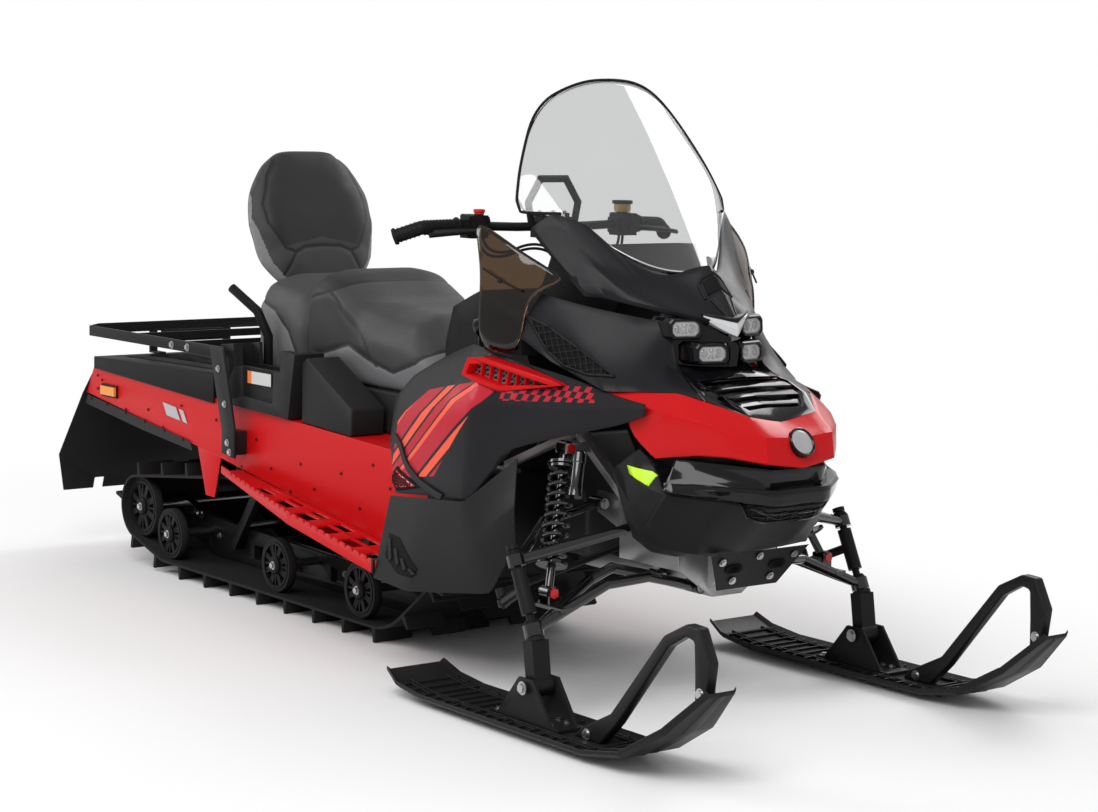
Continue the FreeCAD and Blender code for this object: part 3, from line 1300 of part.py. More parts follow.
def make_ski_loop():
    """Grab loop from the middle of a ski to its tip."""
    middle = S.stance_half
    lift = S.seat_gap + 0.1
    foot = [(176, ski_top(176) + lift), (268, ski_top(268) + lift)]
    tip = [(572, ski_top(572) + lift), (604, ski_top(604) + lift)]
    outer = foot[:1] + [(200, ski_top(200) + 24), (300, 96), (470, 296), (540, 332), (582, 330), (616, 262)] + tip[::-1]
    inner = [(570, 236), (566, 300), (540, 306), (484, 274), (322, 76)] + foot[1:]
    return side_plate(outer + inner, middle - 14, middle + 14)


def make_ski_saddle():
    """Bracket on a ski that holds the bolt under the upright."""
    middle = S.stance_half
    top = ski_top(0) + S.seat_gap
    x, z = S.ski_bolt_ahead, S.ski_bolt_up
    base = block((x - 130, x + 120), (middle - 38, middle + 38), (top, top + 8))
    outline = [(x - 110, top), (x + 100, top), (x + 26, z + 20), (x - 26, z + 20)]
    cheek = side_plate(outline, middle + 30.3, middle + 38)
    other = side_plate(outline, middle - 38, middle - 30.3)
    bolt = Part.makeCylinder(S.ski_bolt_radius, 92, vec(x, middle - 46, z), vec(0, 1, 0))
    return fused([base, cheek, other, bolt])


add("track", make_track())
add("skid_wheels", make_wheels())
add("skid_rails", make_rails())
keep("skid_axles", make_axles())
add("skid_arms", make_skid_arms())
add("drive_axle", make_drive_axle())
keep("tunnel", make_tunnel())
keep("rear_deck", make_deck())
keep("rack_brackets", make_rack_brackets())
keep("seat_base", make_seat_base())
keep("fuel_tank", make_tank())
keep("engine", make_engine())
add("rack", make_rack())
add("snow_flap", make_flap())
add("box_holders", make_box_holders())
add("seat_covers", make_seat_covers())
add("grab_handles", make_grab_handles())
DRIVER_SEAT, PASSENGER_SEAT = make_seats()
add("driver_seat", DRIVER_SEAT)
add("passenger_seat", PASSENGER_SEAT)
add("backrest", make_backrest())
add("hood", pair(make_hood()))
HOUSING, LENSES = make_lamp_housing()
add("headlamp_housing", HOUSING)
add("headlamp_lenses", LENSES)
add("grille", make_grille())
add("nose_panel", make_nose())
add("bumper", make_bumper())
add("belly_pan", make_belly())
add("windshield", make_windshield())
add("screen_shroud", make_shroud())
add("side_deflectors", make_deflectors())
add("console", make_console())
add("air_boxes", make_air_boxes())
add("intake_frames", make_intake_frames())
add("bulkhead", make_frame())
add("steering_support", make_steering_support())
add("upper_arms", pair(make_upper_arm()))
add("lower_arms", pair(make_lower_arm()))
add("shocks", pair(make_shock()))
add("springs", pair(make_spring()))
add("handlebar", make_handlebar())
SIDED = (
    ("running_board", make_board),
    ("side_panel", make_side_panel),
    ("lower_panel", make_lower_panel),
    ("spindle", make_spindle),
    ("tie_rod", make_tie_rod),
    ("ski", make_ski),
    ("ski_loop", make_ski_loop),
    ("ski_saddle", make_ski_saddle),
)
for name, make in SIDED:
    add_mirrored(f"{name}_right", add(f"{name}_left", make()))
DOCUMENT.recompute()

for item in DOCUMENT.Objects:
    if "Invalid" in item.State or "Error" in item.State:
        raise RuntimeError(f"{item.Label} failed")

os.makedirs("parts", exist_ok=True)
for feature in PARTS:
    if feature.Shape.isNull() or not feature.Shape.isValid():
        raise RuntimeError(f"{feature.Label} has no valid shape")
for feature in PARTS:
    feature.Shape.exportStep(f"parts/{feature.Label}.step")
    box = feature.Shape.BoundBox
    print(f"{feature.Label:22s} {len(feature.Shape.Solids):3d} solids {feature.Shape.Volume / 1e6:9.3f} l  "
          f"x {box.XMin:.0f}..{box.XMax:.0f}  y {box.YMin:.0f}..{box.YMax:.0f}  z {box.ZMin:.0f}..{box.ZMax:.0f}")
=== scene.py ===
"""Wide-track utility snowmobile: finishes, padding, glass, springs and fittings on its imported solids."""

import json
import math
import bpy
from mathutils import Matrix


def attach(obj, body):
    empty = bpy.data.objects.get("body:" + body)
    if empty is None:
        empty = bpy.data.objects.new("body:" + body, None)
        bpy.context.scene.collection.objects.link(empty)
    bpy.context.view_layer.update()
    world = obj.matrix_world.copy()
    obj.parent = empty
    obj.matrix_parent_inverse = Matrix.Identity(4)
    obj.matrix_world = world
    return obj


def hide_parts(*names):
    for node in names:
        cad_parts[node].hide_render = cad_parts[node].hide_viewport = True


bl_info = {
    "name": "Utility snowmobile",
    "version": (1, 0, 0),
    "blender": (4, 5, 0),
    "location": "View3D > Sidebar > Snowmobile",
    "description": "Dresses the jointed model of a utility snowmobile and sets up its studio",
    "category": "Object",
}

import bmesh
import bpy
from bpy.props import FloatProperty, FloatVectorProperty, PointerProperty
from bpy.types import Operator, Panel, PropertyGroup
from mathutils import Matrix, Vector
from mathutils.bvhtree import BVHTree

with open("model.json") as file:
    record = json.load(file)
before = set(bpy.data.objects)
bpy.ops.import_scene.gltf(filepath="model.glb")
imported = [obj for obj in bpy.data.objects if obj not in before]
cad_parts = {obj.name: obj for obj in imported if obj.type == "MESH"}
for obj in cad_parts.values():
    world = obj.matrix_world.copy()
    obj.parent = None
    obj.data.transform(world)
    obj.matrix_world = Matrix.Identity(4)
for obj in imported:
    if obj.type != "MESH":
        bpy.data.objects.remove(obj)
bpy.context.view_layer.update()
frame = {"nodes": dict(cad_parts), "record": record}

NODES = frame["nodes"]
RECORD = frame["record"]
BODY_OF = {node: body for body, members in RECORD["behaviour"]["bodies"].items() for node in members}
AXLE_AHEAD = 1.0175
SIDES = (("left", 1), ("right", -1))
FINISHES = {}


# Places and shapes


def at(x, y, z):
    """A point from millimetres behind (-) or ahead (+) of the front axle line, to the left, and up."""
    return Vector((x / 1000 + AXLE_AHEAD, y / 1000, z / 1000))


def frame_on(centre, axis):
    """The matrix that stands a shape's own Z along an axis at a centre."""
    return Matrix.Translation(centre) @ Vector(axis).to_track_quat("Z", "Y").to_matrix().to_4x4()


def block(bm, low, high):
    """An upright block between two corners in millimetres."""
    a, b = at(*low), at(*high)
    size = Matrix.Diagonal((b.x - a.x, b.y - a.y, b.z - a.z, 1))
    return bmesh.ops.create_cube(bm, size=1, matrix=Matrix.Translation((a + b) / 2) @ size)["verts"]


def disc(bm, centre, axis, radius, height, segments=24):
    """A short cylinder that starts at a centre and stands along an axis."""
    turn = frame_on(Vector(centre) + Vector(axis).normalized() * (height / 2), axis)
    bmesh.ops.create_cone(bm, cap_ends=True, segments=segments, radius1=radius, radius2=radius,
                          depth=height, matrix=turn)


def lathe(bm, profile, centre, axis, steps=48):
    """A closed profile of (radius, along) pairs in metres, spun round an axis."""
    turn = frame_on(centre, axis)
    verts = [bm.verts.new(turn @ Vector((radius, 0, along))) for radius, along in profile]
    edges = [bm.edges.new((verts[i], verts[(i + 1) % len(verts)])) for i in range(len(verts))]
    bmesh.ops.spin(bm, geom=verts + edges, cent=centre, axis=Vector(axis).normalized(), angle=math.tau,
                   steps=steps, use_merge=True)


def lofted(bm, rows, closed=False):
    """A surface through rows of points, from each row to the next."""
    loops = []
    for row in rows:
        verts = [bm.verts.new(point) for point in row]
        pairs = list(zip(verts, verts[1:]))
        if closed:
            pairs.append((verts[-1], verts[0]))
        loops.append([bm.edges.new(pair) for pair in pairs])
    for low, high in zip(loops, loops[1:]):
        if closed:
            # Bridging may cap a closed row, so its faces are made one by one
            for first, second in zip(low, high):
                bm.faces.new((*first.verts, *reversed(second.verts)))
        else:
            bmesh.ops.bridge_loops(bm, edges=low + high)


def across_middle(rows):
    """Rows from the middle outward, as (side, row) pairs from the right side over to the left one."""
    return [(-1, row) for row in rows[:0:-1]] + [(1, row) for row in rows]


def plate(bm, corners, thickness):
    """A flat plate with these corners, thickened against its own normal."""
    face = bm.faces.new([bm.verts.new(corner) for corner in corners])
    bmesh.ops.solidify(bm, geom=[face], thickness=thickness)


def pipe(points, radius, name, cyclic=False, smooth=True, resolution=4):
    """A round tube along points, as a mesh."""
    curve = bpy.data.curves.new(name, "CURVE")
    curve.dimensions = "3D"
    curve.bevel_depth = radius
    curve.bevel_resolution = resolution
    curve.resolution_u = 8
    curve.use_fill_caps = True
    spline = curve.splines.new("NURBS" if smooth else "POLY")
    spline.points.add(len(points) - 1)
    for point, place in zip(spline.points, points):
        point.co = (*place, 1)
    spline.use_cyclic_u = cyclic
    if smooth:
        spline.order_u = 3
        spline.use_endpoint_u = not cyclic
    holder = bpy.data.objects.new(name, curve)
    bpy.context.scene.collection.objects.link(holder)
    bpy.context.view_layer.update()
    mesh = bpy.data.meshes.new_from_object(holder.evaluated_get(bpy.context.evaluated_depsgraph_get()))
    bpy.data.objects.remove(holder)
    bpy.data.curves.remove(curve)
    return mesh


def add_pipe(bm, points, radius, **options):
    """Adds a round tube along points to a mesh under construction."""
    mesh = pipe(points, radius, "tube", **options)
    bm.from_mesh(mesh)
    bpy.data.meshes.remove(mesh)


# Distance under which doubled vertices are merged, in metres
MERGE = 0.00002
# Edges of a solid that bend by less than this many degrees are cleared away
FLAT_BEND = 0.6


def piece(name, bm, finish, body="chassis", replaced=(), angle=32, outward=True):
    """Turns a mesh under construction into a finished object that rides on a body.

    Its slot has the finish's name."""
    if outward:
        bmesh.ops.remove_doubles(bm, verts=bm.verts, dist=MERGE)
        bmesh.ops.recalc_face_normals(bm, faces=bm.faces)
    for face in bm.faces:
        face.smooth = True
    mesh = bpy.data.meshes.new(name)
    bm.to_mesh(mesh)
    bm.free()
    mesh.set_sharp_from_angle(angle=math.radians(angle))
    thing = bpy.data.objects.new(name, mesh)
    bpy.context.scene.collection.objects.link(thing)
    mesh.materials.append(FINISHES[finish])
    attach(thing, body)
    if replaced:
        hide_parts(*replaced)
    return thing


def rounded(thing, width, segments=2, angle=25):
    """Rounds a piece's edges with a live bevel."""
    bevel = thing.modifiers.new("Rounded edges", "BEVEL")
    bevel.width = width
    bevel.segments = segments
    bevel.limit_method = "ANGLE"
    bevel.angle_limit = math.radians(angle)
    bevel.harden_normals = True
    bevel.miter_outer = "MITER_ARC"
    return thing


def clean_copy(node):
    """A solid's mesh, cleared of the edges inside its flat faces, and swept if it is at the front."""
    bm = bmesh.new()
    bm.from_mesh(NODES[node].data)
    bmesh.ops.remove_doubles(bm, verts=bm.verts, dist=MERGE)
    bmesh.ops.dissolve_limit(bm, angle_limit=math.radians(FLAT_BEND), verts=bm.verts, edges=bm.edges)
    if node in SWEPT:
        sweep_all(bm, node)
    return bm


def skin(node, bm, finish):
    """The finished copy of a solid, shown in the solid's place."""
    return piece(node + "_skin", bm, finish, BODY_OF[node], (node,), angle=180, outward=False)


def softened(node, finish, width, angle):
    """A copy of a solid with its edges rounded."""
    return rounded(skin(node, clean_copy(node), finish), width, 2, angle)


# How far the front body sweeps inward, in millimetres, at places across the vehicle: low down and at the
# hood. The slope and the drop are the shares of that by which it also goes back and down.
SWEEP_LOW = ((0, 0), (110, 0), (188, 28), (345, 100), (420, 108), (900, 108))
SWEEP_HIGH = ((0, 0), (190, 68), (345, 103), (420, 108), (900, 108))
SWEEP_SLOPE = 1.306
SWEEP_DROP = 0.19
SWEEP_LEVELS = (750, 800)
BUMPER_LEVELS = (540, 600)
SWEEP_STATIONS = (-420, 60)
# The side panels' tips and the nose go in a little more
TIP_SWEEP = 0.047
TIP_STATIONS = (60, 290)
TIP_PLACES = (330, 400)


def along_table(table, value):
    """Value read from rows of (place, amount), straight between them."""
    for (a, low), (b, high) in zip(table, table[1:]):
        if value <= b:
            return low + (high - low) * max(0.0, value - a) / (b - a)
    return table[-1][1]


def eased(value, limits):
    """0 to 1 between two limits, with soft ends."""
    share = min(1.0, max(0.0, (value - limits[0]) / (limits[1] - limits[0])))
    return share * share * (3 - 2 * share)


def swept(point):
    """Moves a place on the front body back and inward, as the nose's plan has it."""
    x, out, up = (point.x - AXLE_AHEAD) * 1000, abs(point.y) * 1000, point.z * 1000
    high = eased(up, SWEEP_LEVELS)
    low = along_table(SWEEP_LOW, out) * (0.5 + 0.5 * eased(up, BUMPER_LEVELS))
    inward = low * (1 - high) + along_table(SWEEP_HIGH, out) * high
    inward *= eased(x, SWEEP_STATIONS) / 1000
    side = 1 if point.y > 0 else -1
    return point + Vector((-inward * SWEEP_SLOPE, -inward * side, -inward * SWEEP_DROP))


def sweep_all(bm, node):
    """Sweeps a front panel's mesh, and the side panels' tips a little more."""
    for vert in bm.verts:
        if node.startswith("side_panel") or node == "nose_panel":
            x, out = (vert.co.x - AXLE_AHEAD) * 1000, abs(vert.co.y) * 1000
            more = TIP_SWEEP * eased(x, TIP_STATIONS) * eased(out, TIP_PLACES)
            vert.co.x -= more * SWEEP_SLOPE
            vert.co.y -= math.copysign(more, vert.co.y)
        vert.co = swept(vert.co)


def swept_rows(rows):
    """Rows of (across, then points along and up) from the middle outward, as swept points on both sides."""
    return [[swept(at(x, side * y, z)) for x, z in points] for side, (y, *points) in across_middle(rows)]


# Height of a washer, and its radius as a multiple of the bolt head's
WASHER = 0.0012
WASHER_SHARE = 1.4


def bolt(bm, centre, axis, radius, height, sides=6):
    """A washer and a head that stand on a surface."""
    axis = Vector(axis).normalized()
    disc(bm, centre, axis, radius * WASHER_SHARE, WASHER, 16)
    disc(bm, Vector(centre) + axis * WASHER, axis, radius, height, sides)


def surface(name):
    """The finished surface of a piece, for laying things on it."""
    bpy.context.view_layer.update()
    return BVHTree.FromObject(bpy.data.objects[name], bpy.context.evaluated_depsgraph_get())


# Where a point that is laid on a surface starts, and how far it goes, in metres
LAY_FROM = 0.2
LAY_REACH = 0.45


def laid(host, point, toward, lift):
    """The place where a point meets a surface when it is pushed one way, lifted off it."""
    hit, normal, _, _ = host.ray_cast(Vector(point) - toward * LAY_FROM, toward, LAY_REACH)
    if hit is None:
        hit, normal, _, _ = host.find_nearest(point)
    if normal.dot(toward) > 0:
        normal = -normal
    return hit + normal * lift


def ribbon(bm, points, across, width):
    """A flat strip along points."""
    sides = [[bm.verts.new(point + across * (width * share)) for point in points] for share in (-0.5, 0.5)]
    for a, b, c, d in zip(sides[0], sides[0][1:], sides[1][1:], sides[1]):
        bm.faces.new((a, b, c, d))


def walled(thing, thickness, offset=0.0):
    """Gives an open sheet its thickness."""
    wall = thing.modifiers.new("Wall", "SOLIDIFY")
    wall.thickness = thickness
    wall.offset = offset
    return thing


def decal(name, outline, host, toward, finish, lift=0.0014, thickness=0.0022, cell=0.012):
    """A thin patch that lies on a surface, its outline pushed onto it one way."""
    toward = Vector(toward).normalized()
    bm = bmesh.new()
    bm.faces.new([bm.verts.new(point) for point in outline])
    first = toward.orthogonal().normalized()
    for axis in (first, toward.cross(first)):
        reach = [axis.dot(point) for point in outline]
        for number in range(1, int((max(reach) - min(reach)) / cell) + 1):
            bmesh.ops.bisect_plane(bm, geom=bm.verts[:] + bm.edges[:] + bm.faces[:], dist=0.00001,
                                   plane_co=axis * (min(reach) + number * cell), plane_no=axis)
    for vert in bm.verts:
        vert.co = laid(host, vert.co, toward, lift)
    return walled(piece(name, bm, finish), thickness)


def runs_across(outline, degrees, pitch, step=0.005):
    """Straight runs of flat points across a flat outline, at several angles."""
    centre = sum(outline, Vector((0, 0))) / len(outline)
    reach = max((corner - centre).length for corner in outline)
    ticks = int(reach / step)
    runs = []
    for angle in degrees:
        along = Vector((math.cos(math.radians(angle)), math.sin(math.radians(angle))))
        across = Vector((-along.y, along.x))
        for number in range(-int(reach / pitch), int(reach / pitch) + 1):
            run = []
            for tick in range(-ticks, ticks + 2):
                spot = centre + across * (number * pitch) + along * (tick * step)
                if tick <= ticks and inside(spot, outline):
                    run.append(spot)
                elif len(run) > 1:
                    runs.append((run, across))
                    run = []
                else:
                    run = []
    return runs


# Radius of a moulded panel's edges, in metres
PANEL_EDGE = 0.0012
# Most bend and skew, in degrees, at which two triangles are joined to a quad
QUAD_BEND = 40
QUAD_SKEW = 60


def drawn_out(thing, levels):
    """Draws a piece's facets out into curves with a live subdivision."""
    smooth = thing.modifiers.new("Drawn out", "SUBSURF")
    smooth.levels = smooth.render_levels = levels
    return smooth


def moulding(node, finish, crease_from=40, soft_from=16, soft=0.6):
    """A copy of a faceted panel, its facets drawn out into smooth curves between its sharp edges."""
    bm = clean_copy(node)
    triangles = [face for face in bm.faces if len(face.verts) == 3]
    bmesh.ops.join_triangles(bm, faces=triangles, angle_face_threshold=math.radians(QUAD_BEND),
                             angle_shape_threshold=math.radians(QUAD_SKEW))
    crease = bm.edges.layers.float.new("crease_edge")
    for edge in bm.edges:
        bend = math.degrees(edge.calc_face_angle(math.pi))
        edge[crease] = 1.0 if bend > crease_from else soft if bend > soft_from else 0.0
    thing = skin(node, bm, finish)
    for edge in thing.data.edges:
        edge.use_edge_sharp = False
    drawn_out(thing, 2).boundary_smooth = "PRESERVE_CORNERS"
    return rounded(thing, PANEL_EDGE, 2, 30)


# Shader groups that several finishes share


def add_node(tree, kind, settings=(), **inputs):
    """A node with its settings made and its inputs set or linked."""
    node = tree.nodes.new(kind)
    for key, value in dict(settings).items():
        setattr(node, key, value)
    for key, value in inputs.items():
        feed(tree, node, key.replace("_", " "), value)
    return node


def feed(tree, node, socket, value):
    """Sets one input of a node, or links another node's output to it."""
    entry = node.inputs[socket]
    if isinstance(value, bpy.types.NodeSocket):
        tree.links.new(value, entry)
    else:
        entry.default_value = value


def maths(tree, operation, first, second=0.0, third=None):
    """A Math node's output."""
    node = tree.nodes.new("ShaderNodeMath")
    node.operation = operation
    feed(tree, node, 0, first)
    feed(tree, node, 1, second)
    if third is not None:
        feed(tree, node, 2, third)
    return node.outputs[0]


def ramp(tree, factor, stops, steps=False):
    """A colour ramp's colour output."""
    node = tree.nodes.new("ShaderNodeValToRGB")
    bar = node.color_ramp
    bar.interpolation = "CONSTANT" if steps else "LINEAR"
    while len(bar.elements) < len(stops):
        bar.elements.new(0.5)
    for element, (place, colour) in zip(bar.elements, stops):
        element.position = place
        element.color = colour
    feed(tree, node, "Fac", factor)
    return node.outputs["Color"]


def blend_colours(tree, factor, low, high):
    """A colour mix's output."""
    node = tree.nodes.new("ShaderNodeMix")
    node.data_type = "RGBA"
    feed(tree, node, 0, factor)
    feed(tree, node, 6, low)
    feed(tree, node, 7, high)
    return node.outputs[2]


def new_group(name, inputs, outputs):
    """An empty shader group, with its two ends."""
    group = bpy.data.node_groups.new(name, "ShaderNodeTree")
    for label, kind, default in inputs:
        socket = group.interface.new_socket(name=label, in_out="INPUT", socket_type=kind)
        socket.default_value = default
    for label, kind in outputs:
        group.interface.new_socket(name=label, in_out="OUTPUT", socket_type=kind)
    start = group.nodes.new("NodeGroupInput")
    end = group.nodes.new("NodeGroupOutput")
    return group, start, end


# What a group with a relief puts out
RELIEF = [("Height", "NodeSocketFloat"), ("Variation", "NodeSocketFloat")]


def object_place(tree):
    """The place on the piece, which patterns read."""
    return tree.nodes.new("ShaderNodeTexCoord").outputs["Object"]


def end_relief(group, start, end, height, variation):
    """Puts out a group's relief, as deep as its input says, and its variation."""
    deep = maths(group, "MULTIPLY", height, start.outputs["Depth"])
    group.links.new(deep, end.inputs["Height"])
    group.links.new(variation, end.inputs["Variation"])


def make_grain_group():
    """Fine moulded grain: pits and a soft unevenness."""
    inputs = [("Scale", "NodeSocketFloat", 700.0), ("Depth", "NodeSocketFloat", 0.5)]
    group, start, end = new_group("Moulded grain", inputs, RELIEF)
    place = object_place(group)
    pits = add_node(group, "ShaderNodeTexVoronoi", Vector=place, Scale=start.outputs["Scale"])
    cloud = add_node(group, "ShaderNodeTexNoise", Vector=place, Scale=14.0, Detail=4.0)
    end_relief(group, start, end, pits.outputs["Distance"], cloud.outputs["Fac"])


def make_dust_group():
    """A colour with faint dust gathered on it, more where it faces up."""
    inputs = [("Colour", "NodeSocketColor", (0, 0, 0, 1)), ("Dust", "NodeSocketColor", (0.3, 0.29, 0.28, 1)),
              ("Amount", "NodeSocketFloat", 0.05)]
    outputs = [("Colour", "NodeSocketColor"), ("Mask", "NodeSocketFloat")]
    group, start, end = new_group("Dusty colour", inputs, outputs)
    coords = group.nodes.new("ShaderNodeTexCoord")
    cloud = add_node(group, "ShaderNodeTexNoise", Vector=coords.outputs["Object"], Scale=7.0, Detail=7.0,
                     Roughness=0.7)
    split = add_node(group, "ShaderNodeSeparateXYZ", Vector=coords.outputs["Normal"])
    facing = maths(group, "MULTIPLY_ADD", split.outputs["Z"], 0.5, 0.7)
    mask = maths(group, "MULTIPLY", cloud.outputs["Fac"], facing)
    mask = maths(group, "MULTIPLY", mask, start.outputs["Amount"])
    colour = blend_colours(group, mask, start.outputs["Colour"], start.outputs["Dust"])
    group.links.new(colour, end.inputs["Colour"])
    group.links.new(mask, end.inputs["Mask"])


def make_vinyl_group():
    """Leather-like grain: cells with creases between them."""
    inputs = [("Scale", "NodeSocketFloat", 420.0), ("Depth", "NodeSocketFloat", 1.0)]
    group, start, end = new_group("Vinyl grain", inputs, RELIEF)
    place = object_place(group)
    cells = add_node(group, "ShaderNodeTexVoronoi", {"feature": "DISTANCE_TO_EDGE"}, Vector=place,
                     Scale=start.outputs["Scale"])
    crease = maths(group, "SMOOTH_MIN", cells.outputs["Distance"], 0.22, 0.15)
    cloud = add_node(group, "ShaderNodeTexNoise", Vector=place, Scale=30.0, Detail=5.0)
    end_relief(group, start, end, crease, cloud.outputs["Fac"])


def make_brushed_group():
    """Fine parallel lines, long along one axis."""
    inputs = [("Stretch", "NodeSocketVector", (4.0, 260.0, 260.0)), ("Depth", "NodeSocketFloat", 0.3)]
    group, start, end = new_group("Brushed lines", inputs, RELIEF)
    place = object_place(group)
    pull = add_node(group, "ShaderNodeMapping", Vector=place, Scale=start.outputs["Stretch"])
    lines = add_node(group, "ShaderNodeTexNoise", Vector=pull.outputs["Vector"], Scale=3.0, Detail=3.0)
    end_relief(group, start, end, lines.outputs["Fac"], lines.outputs["Fac"])


def make_scuff_group():
    """A mask of thin scuffs and nicks."""
    inputs = [("Amount", "NodeSocketFloat", 0.3)]
    group, start, end = new_group("Scuffs", inputs, [("Mask", "NodeSocketFloat")])
    place = object_place(group)
    pull = add_node(group, "ShaderNodeMapping", Vector=place, Scale=(14.0, 40.0, 90.0),
                    Rotation=(0.4, 0.3, 0.9))
    lines = add_node(group, "ShaderNodeTexNoise", Vector=pull.outputs["Vector"], Scale=2.0, Detail=6.0,
                     Roughness=0.75)
    mask = maths(group, "GREATER_THAN", lines.outputs["Fac"], 0.66)
    mask = maths(group, "MULTIPLY", mask, start.outputs["Amount"])
    group.links.new(mask, end.inputs["Mask"])


# Finishes


class Finish:
    """A material under construction: its node tree and its shader."""

    def __init__(self, name, roughness, metallic=0.0, **constants):
        self.material = bpy.data.materials.new(name)
        self.material.use_nodes = True
        self.tree = self.material.node_tree
        self.shader = self.tree.nodes["Principled BSDF"]
        self.shader.inputs["Roughness"].default_value = roughness
        self.shader.inputs["Metallic"].default_value = metallic
        for key, value in constants.items():
            self.shader.inputs[key.replace("_", " ")].default_value = value
        self.roughness = roughness
        FINISHES[name] = self.material

    def group(self, name, **inputs):
        """One of the shared groups, placed in this material."""
        node = self.tree.nodes.new("ShaderNodeGroup")
        node.node_tree = bpy.data.node_groups[name]
        for key, value in inputs.items():
            feed(self.tree, node, key.replace("_", " "), value)
        return node

    def colour(self, value):
        """Sets or links the shader's colour."""
        feed(self.tree, self.shader, "Base Color", value)

    def bump(self, height, strength, distance=0.0004):
        """Links a height to the shader's normal."""
        node = add_node(self.tree, "ShaderNodeBump", Height=height, Strength=strength, Distance=distance)
        self.tree.links.new(node.outputs["Normal"], self.shader.inputs["Normal"])

    def uneven(self, variation, spread):
        """Varies the roughness round its own value by a 0-1 input."""
        value = maths(self.tree, "MULTIPLY_ADD", variation, spread, self.roughness - spread / 2)
        self.tree.links.new(value, self.shader.inputs["Roughness"])


def moulded(name, colour, roughness, grain=600.0, depth=0.25, dust=0.04, scuffs=0.0, **constants):
    """Moulded plastic, rubber or powder coat: grain, dust and light scuffs."""
    finish = Finish(name, roughness, **constants)
    grained = finish.group("Moulded grain", Scale=grain, Depth=1.0)
    tint = (*colour, 1)
    if dust:
        tint = finish.group("Dusty colour", Colour=tint, Amount=dust).outputs["Colour"]
    if scuffs:
        worn = finish.group("Scuffs", Amount=scuffs)
        pale = tuple(min(1.0, channel * 1.6 + 0.03) for channel in colour)
        tint = blend_colours(finish.tree, worn.outputs["Mask"], tint, (*pale, 1))
    finish.colour(tint)
    finish.bump(grained.outputs["Height"], depth)
    finish.uneven(grained.outputs["Variation"], 0.12)
    return finish


def metal(name, colour, roughness, stretch=(260.0, 4.0, 260.0), depth=0.12, **constants):
    """Bare or plated metal with fine lines."""
    finish = Finish(name, roughness, 1.0, **constants)
    brushed = finish.group("Brushed lines", Stretch=stretch, Depth=1.0)
    low = tuple(channel * 0.82 for channel in colour)
    finish.colour(blend_colours(finish.tree, brushed.outputs["Variation"], (*low, 1), (*colour, 1)))
    finish.bump(brushed.outputs["Height"], depth, 0.0002)
    finish.uneven(brushed.outputs["Variation"], 0.14)


def glazing(name, colour, roughness, haze):
    """See-through sheet with faint haze marks in its gloss."""
    finish = Finish(name, roughness, Transmission_Weight=1.0, IOR=1.49)
    marks = finish.group("Moulded grain", Scale=30.0, Depth=1.0)
    low = tuple(channel * (1 - haze) for channel in colour)
    finish.colour(blend_colours(finish.tree, marks.outputs["Variation"], (*low, 1), (*colour, 1)))


def clear_cover(name, colour):
    """Thin clear cover, nearly all see-through, that light passes on its way in and out."""
    finish = Finish(name, 0.03)
    marks = finish.group("Moulded grain", Scale=30.0, Depth=1.0)
    finish.colour(blend_colours(finish.tree, marks.outputs["Variation"], (*colour, 1), (0.98, 0.98, 0.99, 1)))
    shine = maths(finish.tree, "MULTIPLY_ADD", marks.outputs["Variation"], 0.03, 0.2)
    finish.tree.links.new(shine, finish.shader.inputs["Alpha"])


# A seam's line: the attribute's share at which it begins, how sharp and how dark it gets
SEAM_FROM = 0.6
SEAM_SHARPNESS = 9.0
SEAM_DARKNESS = 0.96


def padding(name, shades):
    """Grained vinyl whose panels take their shades from the mesh."""
    finish = Finish(name, 0.52, Sheen_Weight=0.04, Specular_IOR_Level=0.26)
    grain = finish.group("Vinyl grain", Scale=380.0, Depth=1.0)
    panel = add_node(finish.tree, "ShaderNodeAttribute", {"attribute_name": "panel"})
    stops = [(0.0, (*shades[0], 1)), (0.34, (*shades[1], 1)), (0.67, (*shades[2], 1))]
    tint = ramp(finish.tree, panel.outputs["Fac"], stops, steps=True)
    seam = add_node(finish.tree, "ShaderNodeAttribute", {"attribute_name": "seam"})
    line = maths(finish.tree, "SUBTRACT", seam.outputs["Fac"], SEAM_FROM)
    line = maths(finish.tree, "MULTIPLY", line, SEAM_SHARPNESS)
    line = maths(finish.tree, "MINIMUM", maths(finish.tree, "MAXIMUM", line, 0.0), SEAM_DARKNESS)
    tint = blend_colours(finish.tree, line, tint, (0.01, 0.01, 0.01, 1))
    dusty = finish.group("Dusty colour", Colour=tint, Amount=0.05)
    finish.colour(dusty.outputs["Colour"])
    finish.bump(grain.outputs["Height"], 0.35, 0.0005)
    finish.uneven(grain.outputs["Variation"], 0.2)


# Fields of the side panel's stripes and checks, in millimetres from the front axle line and up
STRIPE_FIELD = [(-690, 470), (-465, 505), (-262, 745), (-318, 745), (-560, 700), (-690, 610)]
CHECK_FIELD = [(-262, 704), (-30, 716), (-60, 748), (-262, 745)]
# Where the running boards' red turns black
BOARD_DARK_FROM = -655


